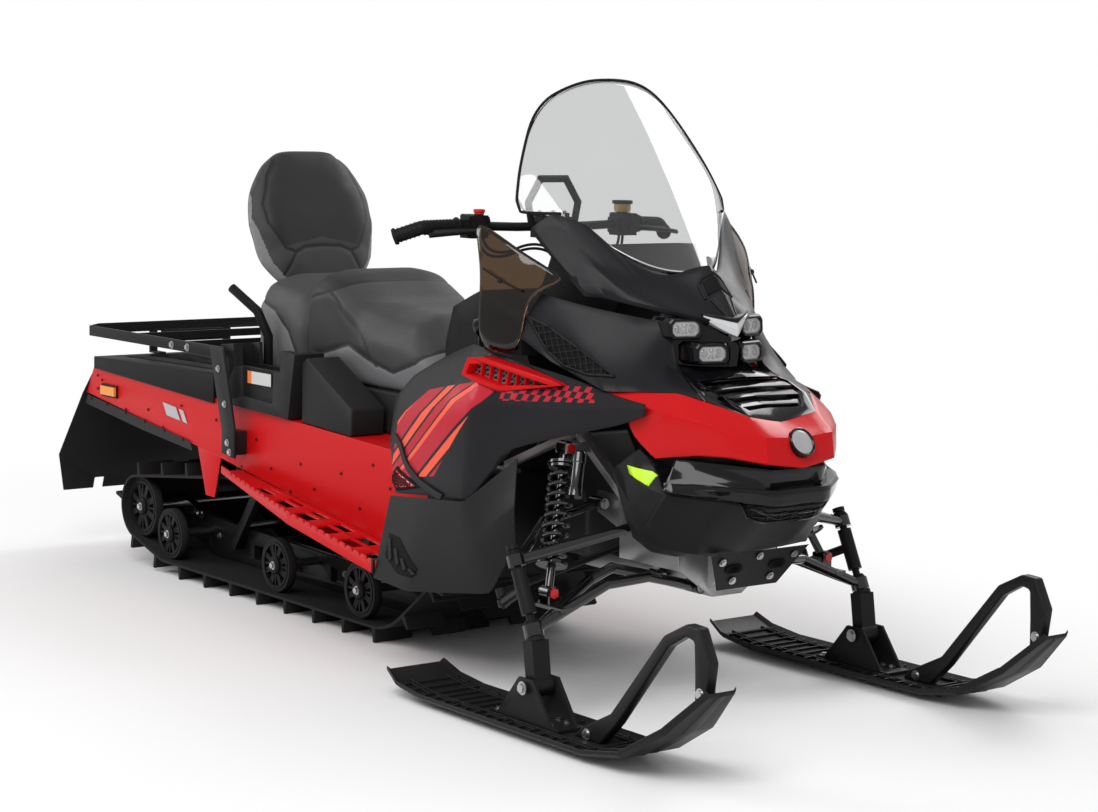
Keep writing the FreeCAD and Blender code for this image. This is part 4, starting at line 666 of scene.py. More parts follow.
def make_side_graphic(look):
    """Satin black panel with a patch of slanted stripes and a row of checks, in generic bands."""
    finish = Finish("panel_graphic", 0.34, Specular_IOR_Level=0.13)
    tree = finish.tree
    place = add_node(tree, "ShaderNodeSeparateXYZ", Vector=object_place(tree))
    x, z = place.outputs["X"], place.outputs["Z"]

    def side_of(first, second):
        """1 on the left of the line from one (x, z) to another, in millimetres, else 0."""
        a, b = at(first[0], 0, first[1]), at(second[0], 0, second[1])
        normal = Vector((-(b.z - a.z), b.x - a.x))
        across = maths(tree, "MULTIPLY_ADD", x, normal.x, -a.x * normal.x)
        across = maths(tree, "MULTIPLY_ADD", z, normal.y, maths(tree, "ADD", across, -a.z * normal.y))
        return maths(tree, "GREATER_THAN", across, 0.0)

    def patch(corners):
        """1 inside a convex field, else 0."""
        mask = None
        for first, second in zip(corners, corners[1:] + corners[:1]):
            half = side_of(first, second)
            mask = half if mask is None else maths(tree, "MULTIPLY", mask, half)
        return mask

    red, coral, dark = (*look.stripe_red, 1), (*look.stripe_coral, 1), (*look.panel_colour, 1)
    slant = maths(tree, "MULTIPLY_ADD", x, 5.2, maths(tree, "MULTIPLY", z, -6.4))
    turns = maths(tree, "FRACT", maths(tree, "ADD", slant, 20.13))
    stops = [(0.0, red), (0.38, dark), (0.45, coral), (0.62, dark), (0.68, red), (0.86, dark), (0.9, coral)]
    bands = ramp(tree, turns, stops, steps=True)
    checks = add_node(tree, "ShaderNodeTexChecker", Scale=72.0, Color1=red, Color2=dark,
                      Vector=add_node(tree, "ShaderNodeCombineXYZ", X=x, Z=z).outputs["Vector"])
    body, tail = patch(STRIPE_FIELD), patch(CHECK_FIELD)
    painted = maths(tree, "MAXIMUM", body, tail)
    tint = blend_colours(tree, tail, bands, checks.outputs["Color"])
    tint = blend_colours(tree, painted, dark, tint)
    dusty = finish.group("Dusty colour", Colour=tint, Amount=0.03)
    finish.colour(dusty.outputs["Colour"])
    grain = finish.group("Moulded grain", Scale=900.0, Depth=1.0)
    finish.bump(grain.outputs["Height"], 0.1)
    finish.uneven(grain.outputs["Variation"], 0.1)


def make_board_paint(red):
    """Red powder coat of the running boards that turns black towards the engine bay."""
    finish = moulded("board_paint", red, 0.34, 900.0, 0.1, 0.005, 0.02, Specular_IOR_Level=0.13)
    tree = finish.tree
    place = add_node(tree, "ShaderNodeSeparateXYZ", Vector=object_place(tree))
    front = maths(tree, "GREATER_THAN", place.outputs["X"], at(BOARD_DARK_FROM, 0, 0).x)
    painted = finish.shader.inputs["Base Color"].links[0].from_socket
    finish.colour(blend_colours(tree, front, painted, (0.006, 0.006, 0.006, 1)))


class SNOW_OT_finishes(Operator):
    """Makes every finish of the vehicle"""

    bl_idname = "snow.finishes"
    bl_label = "Finishes"

    def execute(self, context):
        look = context.scene.snow_look
        make_grain_group()
        make_dust_group()
        make_vinyl_group()
        make_brushed_group()
        make_scuff_group()
        red = tuple(look.paint_red)
        dark = tuple(look.panel_colour)
        dull = {"Specular_IOR_Level": 0.1}
        sleek = {"Specular_IOR_Level": 0.13}
        moulded("track_rubber", (0.013, 0.013, 0.014), 0.66, 420.0, 0.5, 0.06, 0.25, **dull)
        moulded("flap_rubber", (0.009, 0.009, 0.01), 0.5, 500.0, 0.3, 0.02, **dull)
        moulded("black_plastic", (0.007, 0.007, 0.0075), 0.45, 700.0, 0.3, 0.02, 0.05, **dull)
        moulded("grey_plastic", (0.016, 0.016, 0.017), 0.46, 760.0, 0.35, 0.03, 0.05, **dull)
        moulded("charcoal_plastic", (0.014, 0.014, 0.015), 0.4, 760.0, 0.3, 0.02, 0.05, **sleek)
        moulded("ski_plastic", (0.011, 0.011, 0.012), 0.36, 640.0, 0.3, 0.04, 0.3, **sleek)
        moulded("bar_black", (0.009, 0.009, 0.009), 0.5, 520.0, 0.5, 0.02, **dull)
        moulded("panel_black", dark, 0.33, 900.0, 0.12, 0.01, 0.0, **sleek)
        moulded("gloss_black", (0.005, 0.005, 0.006), 0.13, 300.0, 0.03, 0.0, 0.0, Coat_Weight=0.35, **sleek)
        moulded("red_plastic", red, 0.3, 1000.0, 0.06, 0.0, 0.0, Coat_Weight=0.1, Coat_Roughness=0.1, **sleek)
        moulded("black_metal", (0.01, 0.01, 0.01), 0.36, 520.0, 0.25, 0.02, 0.12, **sleek)
        moulded("gloss_black_metal", (0.005, 0.005, 0.005), 0.14, 300.0, 0.05, 0.0, 0.05, Coat_Weight=0.5)
        moulded("spring_steel", (0.008, 0.008, 0.008), 0.16, 300.0, 0.05, 0.0, 0.05, Coat_Weight=0.5)
        moulded("cast_metal", (0.05, 0.05, 0.05), 0.55, 260.0, 0.8, 0.06, 0.2, metallic=0.6)
        # Near-black sheet: painted shade behind the grilles and vents and in slots and recesses; also the
        # reflectors' black base and cells
        moulded("black_and_painted_shade", (0.005, 0.005, 0.005), 0.7, 500.0, 0.3, 0.02, **dull)
        moulded("amber_lens", (0.85, 0.28, 0.01), 0.16, 240.0, 0.3, 0.0, 0.0, Coat_Weight=0.8)
        moulded("red_lens", (0.5, 0.01, 0.01), 0.16, 240.0, 0.3, 0.0, 0.0, Coat_Weight=0.8)
        moulded("green_patch", tuple(look.patch_green), 0.4, 800.0, 0.05, 0.0)
        moulded("red_cap", (0.62, 0.01, 0.01), 0.3, 700.0, 0.1, 0.0)
        moulded("blank_label", (0.55, 0.55, 0.54), 0.45, 900.0, 0.05, 0.02)
        moulded("orange_label", (0.75, 0.18, 0.02), 0.45, 900.0, 0.05, 0.02)
        moulded("fluid_amber", (0.55, 0.36, 0.12), 0.2, 300.0, 0.05, 0.0, 0.0, Coat_Weight=0.5)
        moulded("vent_grey", (0.2, 0.2, 0.21), 0.5, 800.0, 0.2, 0.04)
        make_board_paint(red)
        metal("bright_steel", (0.55, 0.55, 0.56), 0.3)
        metal("aluminium", (0.5, 0.5, 0.51), 0.42, (60.0, 60.0, 60.0), 0.3)
        metal("polished_alloy", (0.66, 0.66, 0.67), 0.22)
        metal("satin_silver", (0.72, 0.72, 0.73), 0.3, (40.0, 40.0, 40.0), 0.05)
        metal("lamp_eye", (0.12, 0.12, 0.13), 0.08, (30.0, 30.0, 30.0), 0.02)
        moulded("day_strip", (0.62, 0.63, 0.65), 0.2, 300.0, 0.05, 0.0, 0.0, Coat_Weight=0.6)
        moulded("silver_mark", (0.42, 0.43, 0.44), 0.4, 600.0, 0.1, 0.02, 0.2)
        # Dark grey plate: painted shade inside the side intakes
        moulded("intake_painted_shade", (0.06, 0.06, 0.065), 0.5, 600.0, 0.2, 0.02)
        glazing("clear_screen", tuple(look.screen_tint), 0.015, 0.03)
        glazing("smoked_screen", tuple(look.smoke_tint), 0.04, 0.15)
        clear_cover("lamp_clear", (0.9, 0.9, 0.92))
        padding("driver_vinyl", ((0.012, 0.012, 0.013), (0.034, 0.034, 0.036), (0.13, 0.13, 0.135)))
        padding("passenger_vinyl", ((0.02, 0.02, 0.021), (0.042, 0.042, 0.044), (0.13, 0.13, 0.134)))
        padding("backrest_cover", ((0.017, 0.017, 0.018), (0.04, 0.04, 0.042), (0.2, 0.2, 0.205)))
        make_side_graphic(look)
        return {"FINISHED"}


# Panels and frames

# Solids whose skins are swept with the front body
SWEPT = ("console", "grille", "air_boxes", "intake_frames", "side_panel_left", "side_panel_right", "hood",
         "nose_panel", "bumper", "belly_pan", "screen_shroud")
# Skins with rounded edges: solid, finish, radius in metres and least bend of an edge in degrees
SKINS = (
    ("tunnel", "board_paint", 0.003, 24), ("running_board_left", "board_paint", 0.0012, 24),
    ("running_board_right", "board_paint", 0.0012, 24), ("rear_deck", "black_plastic", 0.003, 24),
    ("rack", "black_metal", 0.0025, 24), ("rack_brackets", "charcoal_plastic", 0.004, 20),
    ("snow_flap", "flap_rubber", 0.002, 24), ("box_holders", "charcoal_plastic", 0.004, 20),
    ("seat_covers", "grey_plastic", 0.006, 20), ("grab_handles", "black_plastic", 0.003, 28),
    ("seat_base", "grey_plastic", 0.006, 24),
    ("grille", "gloss_black", 0.0015, 24), ("console", "black_plastic", 0.006, 12),
    ("air_boxes", "black_plastic", 0.005, 12), ("intake_frames", "red_plastic", 0.0025, 18),
    ("bulkhead", "aluminium", 0.0016, 28), ("engine", "cast_metal", 0.012, 24),
    ("skid_rails", "black_metal", 0.0016, 30), ("skid_arms", "black_metal", 0.0016, 30),
    ("ski_left", "ski_plastic", 0.003, 16), ("ski_right", "ski_plastic", 0.003, 16),
    ("ski_loop_left", "ski_plastic", 0.005, 16), ("ski_loop_right", "ski_plastic", 0.005, 16),
    ("ski_saddle_left", "black_metal", 0.0016, 30), ("ski_saddle_right", "black_metal", 0.0016, 30),
)
# Drawn-out skins: solid, finish, and where they differ the bends of sharp and soft edges and the soft crease
MOULDINGS = (
    ("fuel_tank", "black_plastic"), ("side_panel_left", "panel_graphic"),
    ("side_panel_right", "panel_graphic"), ("hood", "panel_black", 48, 22, 0.55),
    ("nose_panel", "red_plastic", 20, 8, 0.95), ("bumper", "gloss_black"), ("belly_pan", "charcoal_plastic"),
    ("screen_shroud", "panel_black", 48, 22, 0.55),
)
# Corner points of the lower panels, from their upper to their lower edge, in rows from the rear
LOWER_ROWS = (
    ((-645, 452, 436), (-645, 478, 330), (-645, 500, 237)),
    ((-500, 462, 450), (-500, 486, 340), (-502, 500, 227)),
    ((-313, 472, 464), (-260, 484, 360), (-206, 470, 262)),
    ((-110, 470, 589), (-120, 468, 480), (-135, 450, 386)),
)
# Solids that stay as they are, with their finishes
KEPT = (
    ("skid_axles", "bright_steel"), ("drive_axle", "black_metal"), ("track", "track_rubber"),
    ("skid_wheels", "black_plastic"), ("steering_support", "black_metal"),
    ("upper_arms", "gloss_black_metal"), ("lower_arms", "gloss_black_metal"),
    ("shocks", "gloss_black_metal"), ("spindle_left", "black_metal"), ("spindle_right", "black_metal"),
    ("tie_rod_left", "black_metal"), ("tie_rod_right", "black_metal"), ("handlebar", "bar_black"),
    ("headlamp_lenses", "lamp_clear"),
)


def make_lower_panel(node, side):
    """Panel in front of the footwell, drawn out from its rows of corner points."""
    bm = bmesh.new()
    lofted(bm, [[swept(at(x, side * y, z)) for x, y, z in row] for row in LOWER_ROWS])
    crease = bm.edges.layers.float.new("crease_edge")
    for edge in bm.edges:
        edge[crease] = 1.0 if edge.is_boundary else 0.72
    thing = piece(node + "_skin", bm, "charcoal_plastic", "chassis", (node,), angle=180)
    drawn_out(thing, 3)
    rounded(walled(thing, 0.004, -1.0), PANEL_EDGE)


class SNOW_OT_panels(Operator):
    """Rounds the edges of the panels and frames, and paints the solids that stay"""

    bl_idname = "snow.panels"
    bl_label = "Panels and frames"

    def execute(self, context):
        for node, finish, width, angle in SKINS:
            softened(node, finish, width, angle)
        for node, finish, *creases in MOULDINGS:
            moulding(node, finish, *creases)
        for name, side in SIDES:
            make_lower_panel("lower_panel_" + name, side)
        for node, finish in KEPT:
            slots = NODES[node].data.materials
            slots.clear()
            slots.append(FINISHES[finish])
            for polygon in NODES[node].data.polygons:
                polygon.material_index = 0
        return {"FINISHED"}


# Seats and backrest


# Height over which a pad's foot is drawn down, in metres
HANG_HEIGHT = 0.16
# Settings and number of frames of the cloth simulation that stuffs the pads
STUFFING = {
    "quality": 5,
    "mass": 0.3,
    "use_pressure": True,
    "uniform_pressure_force": 4,
    "tension_stiffness": 40,
    "compression_stiffness": 40,
    "bending_stiffness": 16,
}
STUFFING_FRAMES = 20
# Smoothing passes that draw the stuffed cover taut
TAUT_PASSES = 26


def relax(thing, passes):
    """Evens a pad's mesh out."""
    smooth = thing.modifiers.new("Relax", "SMOOTH")
    smooth.factor = 0.5
    smooth.iterations = passes
    apply_modifiers(thing)


def padded_shape(node, cap, voxel, relaxing, plump=0.004, hang=0.0):
    """A stuffed copy of a solid: remeshed, and blown up a little by a cloth simulation."""
    bm = bmesh.new()
    bm.from_mesh(NODES[node].data)
    bmesh.ops.remove_doubles(bm, verts=bm.verts, dist=MERGE)
    foot = min(vert.co.z for vert in bm.verts)
    for vert in bm.verts:
        vert.co += vert.normal * plump
        vert.co.z -= hang * max(0.0, 1 - (vert.co.z - foot) / HANG_HEIGHT)
    mesh = bpy.data.meshes.new(node + "_pad")
    bm.to_mesh(mesh)
    bm.free()
    thing = bpy.data.objects.new(node + "_pad", mesh)
    bpy.context.scene.collection.objects.link(thing)
    remesh = thing.modifiers.new("Even mesh", "REMESH")
    remesh.mode = "VOXEL"
    remesh.voxel_size = voxel
    relax(thing, relaxing)
    before = [vert.co.copy() for vert in thing.data.vertices]
    stuff(thing)
    for vert, old in zip(thing.data.vertices, before):
        moved = vert.co - old
        if moved.length > cap:
            vert.co = old + moved.normalized() * cap
    relax(thing, TAUT_PASSES)
    return thing


def stuff(thing):
    """Blows a pad up as a cloth cover under air pressure."""
    cloth = thing.modifiers.new("Stuffing", "CLOTH")
    for setting, value in STUFFING.items():
        setattr(cloth.settings, setting, value)
    cloth.settings.effector_weights.gravity = 0
    cloth.point_cache.frame_start = 1
    cloth.point_cache.frame_end = STUFFING_FRAMES
    for number in range(1, STUFFING_FRAMES + 1):
        bpy.context.scene.frame_set(number)
    apply_modifiers(thing)
    bpy.context.scene.frame_set(1)


def apply_modifiers(thing):
    """Bakes a piece's modifiers into its mesh."""
    bpy.context.view_layer.update()
    mesh = bpy.data.meshes.new_from_object(thing.evaluated_get(bpy.context.evaluated_depsgraph_get()))
    thing.modifiers.clear()
    old = thing.data
    thing.data = mesh
    bpy.data.meshes.remove(old)


def distance_to_run(point, run):
    """Least distance from a flat point to a run of flat points."""
    best = 1e9
    for a, b in zip(run, run[1:]):
        span = b - a
        share = max(0.0, min(1.0, (point - a).dot(span) / span.length_squared))
        best = min(best, (point - a - span * share).length)
    return best


def inside(point, outline):
    """Whether a flat point lies in an outline."""
    odd = False
    for a, b in zip(outline, outline[1:] + outline[:1]):
        if (a.y > point.y) != (b.y > point.y):
            if point.x < (b.x - a.x) * (point.y - a.y) / (b.y - a.y) + a.x:
                odd = not odd
    return odd


# Depth and half width of the pressed seams, in metres
SEAM_DEPTH = 0.0035
SEAM_WIDTH = 0.005
# How far the seam attribute reaches on each side, wider than the mesh's spacing
SEAM_REACH = 0.014
# The driver seat's rear lip is pressed flatter above this height
LIP_FLOOR = 0.86
LIP_SHARE = 0.6
# Points that face further back than this are drawn beside the backrest's front, at this shift
FACING_BACK = -0.25
BACK_SHIFT = 0.5
# Seams and panels of the pads, in millimetres. The seats' run from the front axle line and up, as seen
# from the side, the backrest's from its middle and up, as seen from the front. A panel's number picks its
# shade.
DRIVER_SEAMS = (
    ((-1330, 900), (-1264, 836), (-1201, 800), (-1148, 757), (-1118, 718), (-1090, 700)),
    ((-1410, 700), (-1278, 731), (-1221, 747), (-1118, 712), (-1010, 690), (-907, 723), (-780, 800)),
    ((-1440, 846), (-1352, 880), (-1300, 915), (-1262, 960)),
)
DRIVER_PANELS = (
    (0.1, ((-1460, 840), (-1352, 880), (-1300, 915), (-1262, 960), (-1262, 1010), (-1460, 1010))),
    (0.5, ((-1345, 1000), (-1345, 886), (-1264, 836), (-1201, 800), (-1148, 757), (-1118, 712),
           (-1010, 690), (-907, 723), (-760, 806), (-760, 1000))),
    (0.8, ((-1460, 600), (-1460, 690), (-1278, 731), (-1221, 747), (-1118, 712), (-1010, 690),
           (-907, 723), (-740, 830), (-740, 600))),
)
PASSENGER_SEAMS = (((-1710, 842), (-1600, 812), (-1520, 760), (-1470, 680)),)
PASSENGER_PANELS = (
    (0.8, ((-1720, 600), (-1720, 840), (-1600, 812), (-1520, 760), (-1470, 680), (-1460, 600))),
    (0.5, ((-1720, 820), (-1720, 1000), (-1400, 1000), (-1400, 600), (-1460, 600), (-1520, 760),
           (-1600, 812))),
)
BACKREST_SEAMS = (
    ((96, 1244), (140, 1182), (168, 1100), (162, 1050), (120, 978), (92, 968)),
    ((0, 985), (60, 982), (92, 968), (128, 905)),
)
BACKREST_PANELS = (
    (0.1, ((-1, 1260), (96, 1240), (140, 1182), (168, 1100), (162, 1050), (120, 985), (-1, 1010))),
    (0.5, ((-1, 880), (110, 880), (160, 940), (200, 1060), (186, 1170), (120, 1260), (-1, 1280))),
    (0.8, ((-1, 800), (400, 800), (400, 1400), (-1, 1400))),
)


def sew(thing, seams, panels, flatten, ahead=AXLE_AHEAD):
    """Presses seams into a pad, writes its panels and seams as attributes and finishes its mesh.

    seams and panels are drawn on the flat picture that flatten gives of a point."""
    runs = [flat(seam, ahead) for seam in seams]
    fields = [(shade, flat(outline, ahead)) for shade, outline in panels]
    normals = [vert.normal.copy() for vert in thing.data.vertices]
    for vert, normal in zip(thing.data.vertices, normals):
        near = distance_to_seams(flatten(vert.co, normal), runs)
        vert.co -= normal * SEAM_DEPTH * math.exp(-(near / SEAM_WIDTH) ** 2)
    drawn_out(thing, 1)
    apply_modifiers(thing)
    mesh = thing.data
    panel = mesh.attributes.new("panel", "FLOAT", "POINT")
    seam = mesh.attributes.new("seam", "FLOAT", "POINT")
    for index, vert in enumerate(mesh.vertices):
        spot = flatten(vert.co, vert.normal)
        panel.data[index].value = next((shade for shade, outline in fields if inside(spot, outline)), 0.0)
        seam.data[index].value = max(0.0, 1.0 - distance_to_seams(spot, runs) / SEAM_REACH)
    mesh.shade_smooth()


def distance_to_seams(spot, runs):
    """Least distance from a flat point to any of the seams."""
    return min(distance_to_run(spot, run) for run in runs)


def flat(points, ahead):
    """Points in millimetres as flat points in metres, from an origin that lies ahead."""
    return [Vector((x / 1000 + ahead, z / 1000)) for x, z in points]


def side_view(point, _):
    """A point as the side view shows it."""
    return Vector((point.x, point.z))


def front_view(point, normal):
    """A point as the front view shows it, both halves on one, and the back beside it."""
    shift = BACK_SHIFT if normal.x < FACING_BACK else 0.0
    return Vector((abs(point.y) + shift, point.z))


def dress_pad(thing, node, finish):
    """Gives a pad its finish and its solid's place."""
    thing.data.materials.clear()
    thing.data.materials.append(FINISHES[finish])
    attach(thing, BODY_OF[node])
    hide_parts(node)


class SNOW_OT_seats(Operator):
    """Makes the two seats and the backrest as stuffed, sewn vinyl"""

    bl_idname = "snow.seats"
    bl_label = "Seats"

    def execute(self, context):
        voxel = context.scene.snow_look.pad_mesh
        driver = padded_shape("driver_seat", 0.005, voxel, 16)
        sew(driver, DRIVER_SEAMS, DRIVER_PANELS, side_view)
        for vert in driver.data.vertices:
            vert.co.z = min(vert.co.z, LIP_FLOOR + (vert.co.z - LIP_FLOOR) * LIP_SHARE)
        dress_pad(driver, "driver_seat", "driver_vinyl")
        passenger = padded_shape("passenger_seat", 0.005, voxel, 16)
        sew(passenger, PASSENGER_SEAMS, PASSENGER_PANELS, side_view)
        dress_pad(passenger, "passenger_seat", "passenger_vinyl")
        back = padded_shape("backrest", 0.004, voxel, 30, 0.007, 0.035)
        sew(back, BACKREST_SEAMS, BACKREST_PANELS, front_view, 0)
        dress_pad(back, "backrest", "backrest_cover")
        return {"FINISHED"}


# Windshield and deflectors

# Thickness of the windshield and deflectors, and radii of their trim, in metres
SHEET_WALL = 0.004
TRIM_RADIUS = 0.0035
SEAM_TRIM_RADIUS = 0.0025
# Points of the windshield: place across, then (along, up) from its foot to its top
SCREEN_ROWS = (
    (0, (-25, 997), (-100, 1112), (-186, 1232), (-280, 1343), (-376, 1449)),
    (100, (-27, 999), (-104, 1112), (-196, 1230), (-289, 1340), (-384, 1440)),
    (205, (-55, 1043), (-130, 1130), (-232, 1224), (-322, 1310), (-410, 1385)),
    (290, (-193, 1141), (-230, 1172), (-270, 1205), (-311, 1228), (-352, 1250)),
    (330, (-293, 1135), (-299, 1144), (-304, 1152), (-308, 1159), (-312, 1166)),
)
# Points of the left deflector, from its foot to its top
DEFLECTOR_ROWS = (
    ((-161, 419, 844), (-234, 419, 809), (-358, 417, 826)),
    ((-165, 418, 968), (-250, 419, 985), (-315, 417, 1008)),
    ((-38, 352, 996), (-191, 404, 1050), (-423, 388, 1141)),
)


def glass_sheet(name, rows, finish, replaced):
    """A smooth see-through sheet through rows of points."""
    bm = bmesh.new()
    lofted(bm, rows)
    thing = piece(name, bm, finish, "chassis", (replaced,), angle=180)
    drawn_out(thing, 3)
    walled(thing, SHEET_WALL, -1)


class SNOW_OT_screen(Operator):
    """Makes the windshield with its edge trim, and the smoked deflectors"""

    bl_idname = "snow.screen"
    bl_label = "Windshield and deflectors"

    def execute(self, context):
        rows = swept_rows(SCREEN_ROWS)
        glass_sheet("windshield_sheet", rows, "clear_screen", "windshield")
        bm = bmesh.new()
        first, last = rows[0], rows[-1]
        top = [row[-1] for row in rows]
        add_pipe(bm, [rows[1][0], *first[:-1], *top, *last[-2::-1], rows[-2][0]], TRIM_RADIUS)
        piece("windshield_trim", bm, "flap_rubber")
        for name, side in SIDES:
            rows = [[swept(at(x, side * y, z)) for x, y, z in points] for points in DEFLECTOR_ROWS]
            glass_sheet("deflector_" + name, rows, "smoked_screen", "side_deflectors")
            bm = bmesh.new()
            add_pipe(bm, [point + Vector((0, side * SHEET_WALL, 0)) for point in rows[1]], SEAM_TRIM_RADIUS)
            disc(bm, rows[1][1] + Vector((0, side * 0.001, 0)), (0, side, 0), 0.007, 0.004, 12)
            piece("deflector_seam_" + name, bm, "flap_rubber")
        return {"FINISHED"}


# Shocks and springs

SHOCK_TOP = (-150, 300, 600)
SHOCK_LOW = (-44, 424, 292)
SPRING_TURNS = 9
STEPS_A_TURN = 18
# Shares of the shock's length between which its spring lies
SPRING_SPAN = (0.15, 0.78)
SPRING_RADIUS = 0.0285
SPRING_WIRE = 0.0048


def shock_ends(side):
    """Upper and lower centre of the shock on one side."""
    return [at(x, side * y, z) for x, y, z in (SHOCK_TOP, SHOCK_LOW)]


class SNOW_OT_springs(Operator):
    """Winds the coil springs round the shocks"""

    bl_idname = "snow.springs"
    bl_label = "Springs"

    def execute(self, context):
        bm = bmesh.new()
        for _, side in SIDES:
            top, low = shock_ends(side)
            start, end = (top.lerp(low, share) for share in SPRING_SPAN)
            axis = (low - top).normalized()
            across = axis.orthogonal().normalized()
            steps = SPRING_TURNS * STEPS_A_TURN
            ring = frame_on(start + across * SPRING_RADIUS, axis.cross(across))
            made = bmesh.ops.create_circle(bm, cap_ends=True, segments=8, radius=SPRING_WIRE, matrix=ring)
            geometry = made["verts"] + list({edge for vert in made["verts"] for edge in vert.link_edges})
            geometry += list({face for vert in made["verts"] for face in vert.link_faces})
            bmesh.ops.spin(bm, geom=geometry, cent=start, axis=axis, dvec=(end - start) / steps,
                           angle=math.tau * SPRING_TURNS, steps=steps)
        piece("coil_springs", bm, "spring_steel", "chassis", ("springs",))
        return {"FINISHED"}


# Lamps

# Middles of a side's lamps: across, up and ahead, in millimetres
LAMP_PODS = ((59, 825, 80), (101, 880, 34))
POD_HALF = (36, 18.5)
POD_TURN = 0.22
POD_LEAN = 0.08
# Steps of a lamp's bezel and bowl: how much they grow, and how far back they lie, in millimetres
BEZEL_STEPS = ((8, 60), (7, 6), (6, 0), (3, -4), (-1, -4), (-3, 6))
BOWL_STEPS = ((-1.5, 2), (-6.5, 4), (-9, 16))
BOWL_CUT = 6
# A lamp's two eyes: places across, and the profiles of their rings and domes in metres
EYE_SHIFTS = (-17, 17)
EYE_RING = ((0.0085, 0), (0.0125, 0.001), (0.0135, 0.009), (0.0118, 0.009), (0.0095, 0.002))
EYE_DOME = ((0.0001, 0.009), (0.005, 0.0078), (0.0085, 0.004), (0.0088, 0.0), (0.0001, 0.0))
# Outline of the housing's left half: across, lower edge and upper edge
HOUSING_EDGE = (
    (0, 792, 860), (42, 792, 884), (74, 793, 906), (104, 797, 913), (127, 815, 912), (143, 838, 892),
)
# How far back the housing's front lies at five heights, its edges turned back
HOUSING_BACKS = (36, 24, 22, 24, 36)
# Ridge between the lamps: (up, back) along its spine
RIDGE_SPINE = ((850, 8), (838, -3), (806, -3), (796, 8))
# Daytime strip: across, up, ahead and half its height
STRIP_SPINE = ((0, 879, 102, 16), (18, 886, 90, 14), (36, 894, 78, 11), (54, 903, 66, 7), (66, 910, 58, 3))
# Tip of the shroud: across, then (along, up) of its upper and lower edge
SHROUD_TIP = ((0, (80, 910), (99, 896)), (36, (64, 914), (76, 905)), (70, (50, 918), (54, 913)))


def housing_face(y, z, back=0.0):
    """A place on the front of the lamp housing, pushed back by some millimetres."""
    return at(100 + 0.1 * (864 - z) - 0.66 * abs(y) - back, y, z)


def lens_rim(pod, side, grow, back, cut=9):
    """A chamfered rectangle round a lamp's lens, in the plane that the lamp faces."""
    middle, up, ahead = pod
    width, height = (half + grow for half in POD_HALF)
    flat_width, flat_height = width - cut, height - cut
    corners = ((-flat_width, -height), (flat_width, -height), (width, -flat_height), (width, flat_height),
               (flat_width, height), (-flat_width, height), (-width, flat_height), (-width, -flat_height))
    return [at(ahead - POD_TURN * out - POD_LEAN * high - back, side * (middle + out), up + high)
            for out, high in corners]


def pane(bm, points):
    """A single face."""
    bm.faces.new([bm.verts.new(point) for point in points])


def make_housing():
    """The housing's V-shaped front, with its edges turned back."""
    rows = []
    for side, (y, low, high) in across_middle(HOUSING_EDGE):
        heights = (low, low, (low + high) / 2, high, high)
        rows.append([housing_face(side * y, z, back) for z, back in zip(heights, HOUSING_BACKS)])
    bm = bmesh.new()
    lofted(bm, rows)
    housing = piece("lamp_housing", bm, "gloss_black", "chassis", ("headlamp_housing",),
                    angle=20)
    rounded(walled(housing, 0.004, -1.0), 0.002)
    bm = bmesh.new()
    spine = [bm.verts.new(housing_face(0, z, back)) for z, back in RIDGE_SPINE]
    for side in (-1, 1):
        flank = [bm.verts.new(housing_face(side * 15, z, 9)) for z in (850, 796)]
        bm.faces.new((*spine, *reversed(flank)))
    piece("lamp_ridge", bm, "gloss_black", angle=20)


def make_strip():
    """The V-shaped daytime strip, and the tip of the shroud above it."""
    rows = []
    for side, (y, z, x, half) in across_middle(STRIP_SPINE):
        section = ((x - 5, z + half), (x, z), (x - 3, z - half), (x - 20, z - half), (x - 22, z + half))
        rows.append([at(along, side * y, up) for along, up in section])
    bm = bmesh.new()
    lofted(bm, rows, closed=True)
    bmesh.ops.holes_fill(bm, edges=bm.edges)
    rounded(piece("day_strip", bm, "day_strip", angle=30), 0.0012)
    bm = bmesh.new()
    lofted(bm, [[at(x, side * y, z) for x, z in tip] for side, (y, *tip) in across_middle(SHROUD_TIP)])
    walled(piece("shroud_tip", bm, "panel_black", angle=30), 0.004)


class SNOW_OT_lamps(Operator):
    """Makes the four headlamps and the bright strip between them"""

    bl_idname = "snow.lamps"
    bl_label = "Headlamps"

    def execute(self, context):
        bezels, mirrors, dark, glass = (bmesh.new() for _ in range(4))
        make_housing()
        for pod in LAMP_PODS:
            middle, up, ahead = pod
            for _, side in SIDES:
                lofted(bezels, [lens_rim(pod, side, grow, back) for grow, back in BEZEL_STEPS], closed=True)
                bowl = [lens_rim(pod, side, grow, back, BOWL_CUT) for grow, back in BOWL_STEPS]
                lofted(mirrors, bowl, closed=True)
                pane(dark, lens_rim(pod, side, -8.9, 16, BOWL_CUT))
                pane(glass, lens_rim(pod, side, -0.5, 0))
                for shift in EYE_SHIFTS:
                    spot = at(ahead - POD_TURN * shift - 13, side * (middle + shift), up)
                    lathe(mirrors, EYE_RING, spot, (1, 0, 0.05), 24)
                    lathe(dark, EYE_DOME, spot, (1, 0, 0.05), 24)
                for high in (-9, 0, 9):
                    disc(mirrors, at(ahead - 6, side * middle, up + high), (-1, 0, 0), 0.0022, 0.008, 8)
        rounded(piece("lamp_bezels", bezels, "gloss_black", angle=30), 0.0012)
        walled(piece("lamp_reflectors", mirrors, "satin_silver"), 0.0006)
        piece("lamp_eyes", dark, "lamp_eye")
        panes = piece("lamp_panes", glass, "lamp_clear", "chassis", ("headlamp_lenses",))
        walled(panes, 0.0025)
        make_strip()
        return {"FINISHED"}


# Nose and belly


# Panels on which the details of the nose lie
SNOUT = ("nose_panel", "belly_pan", "screen_shroud")
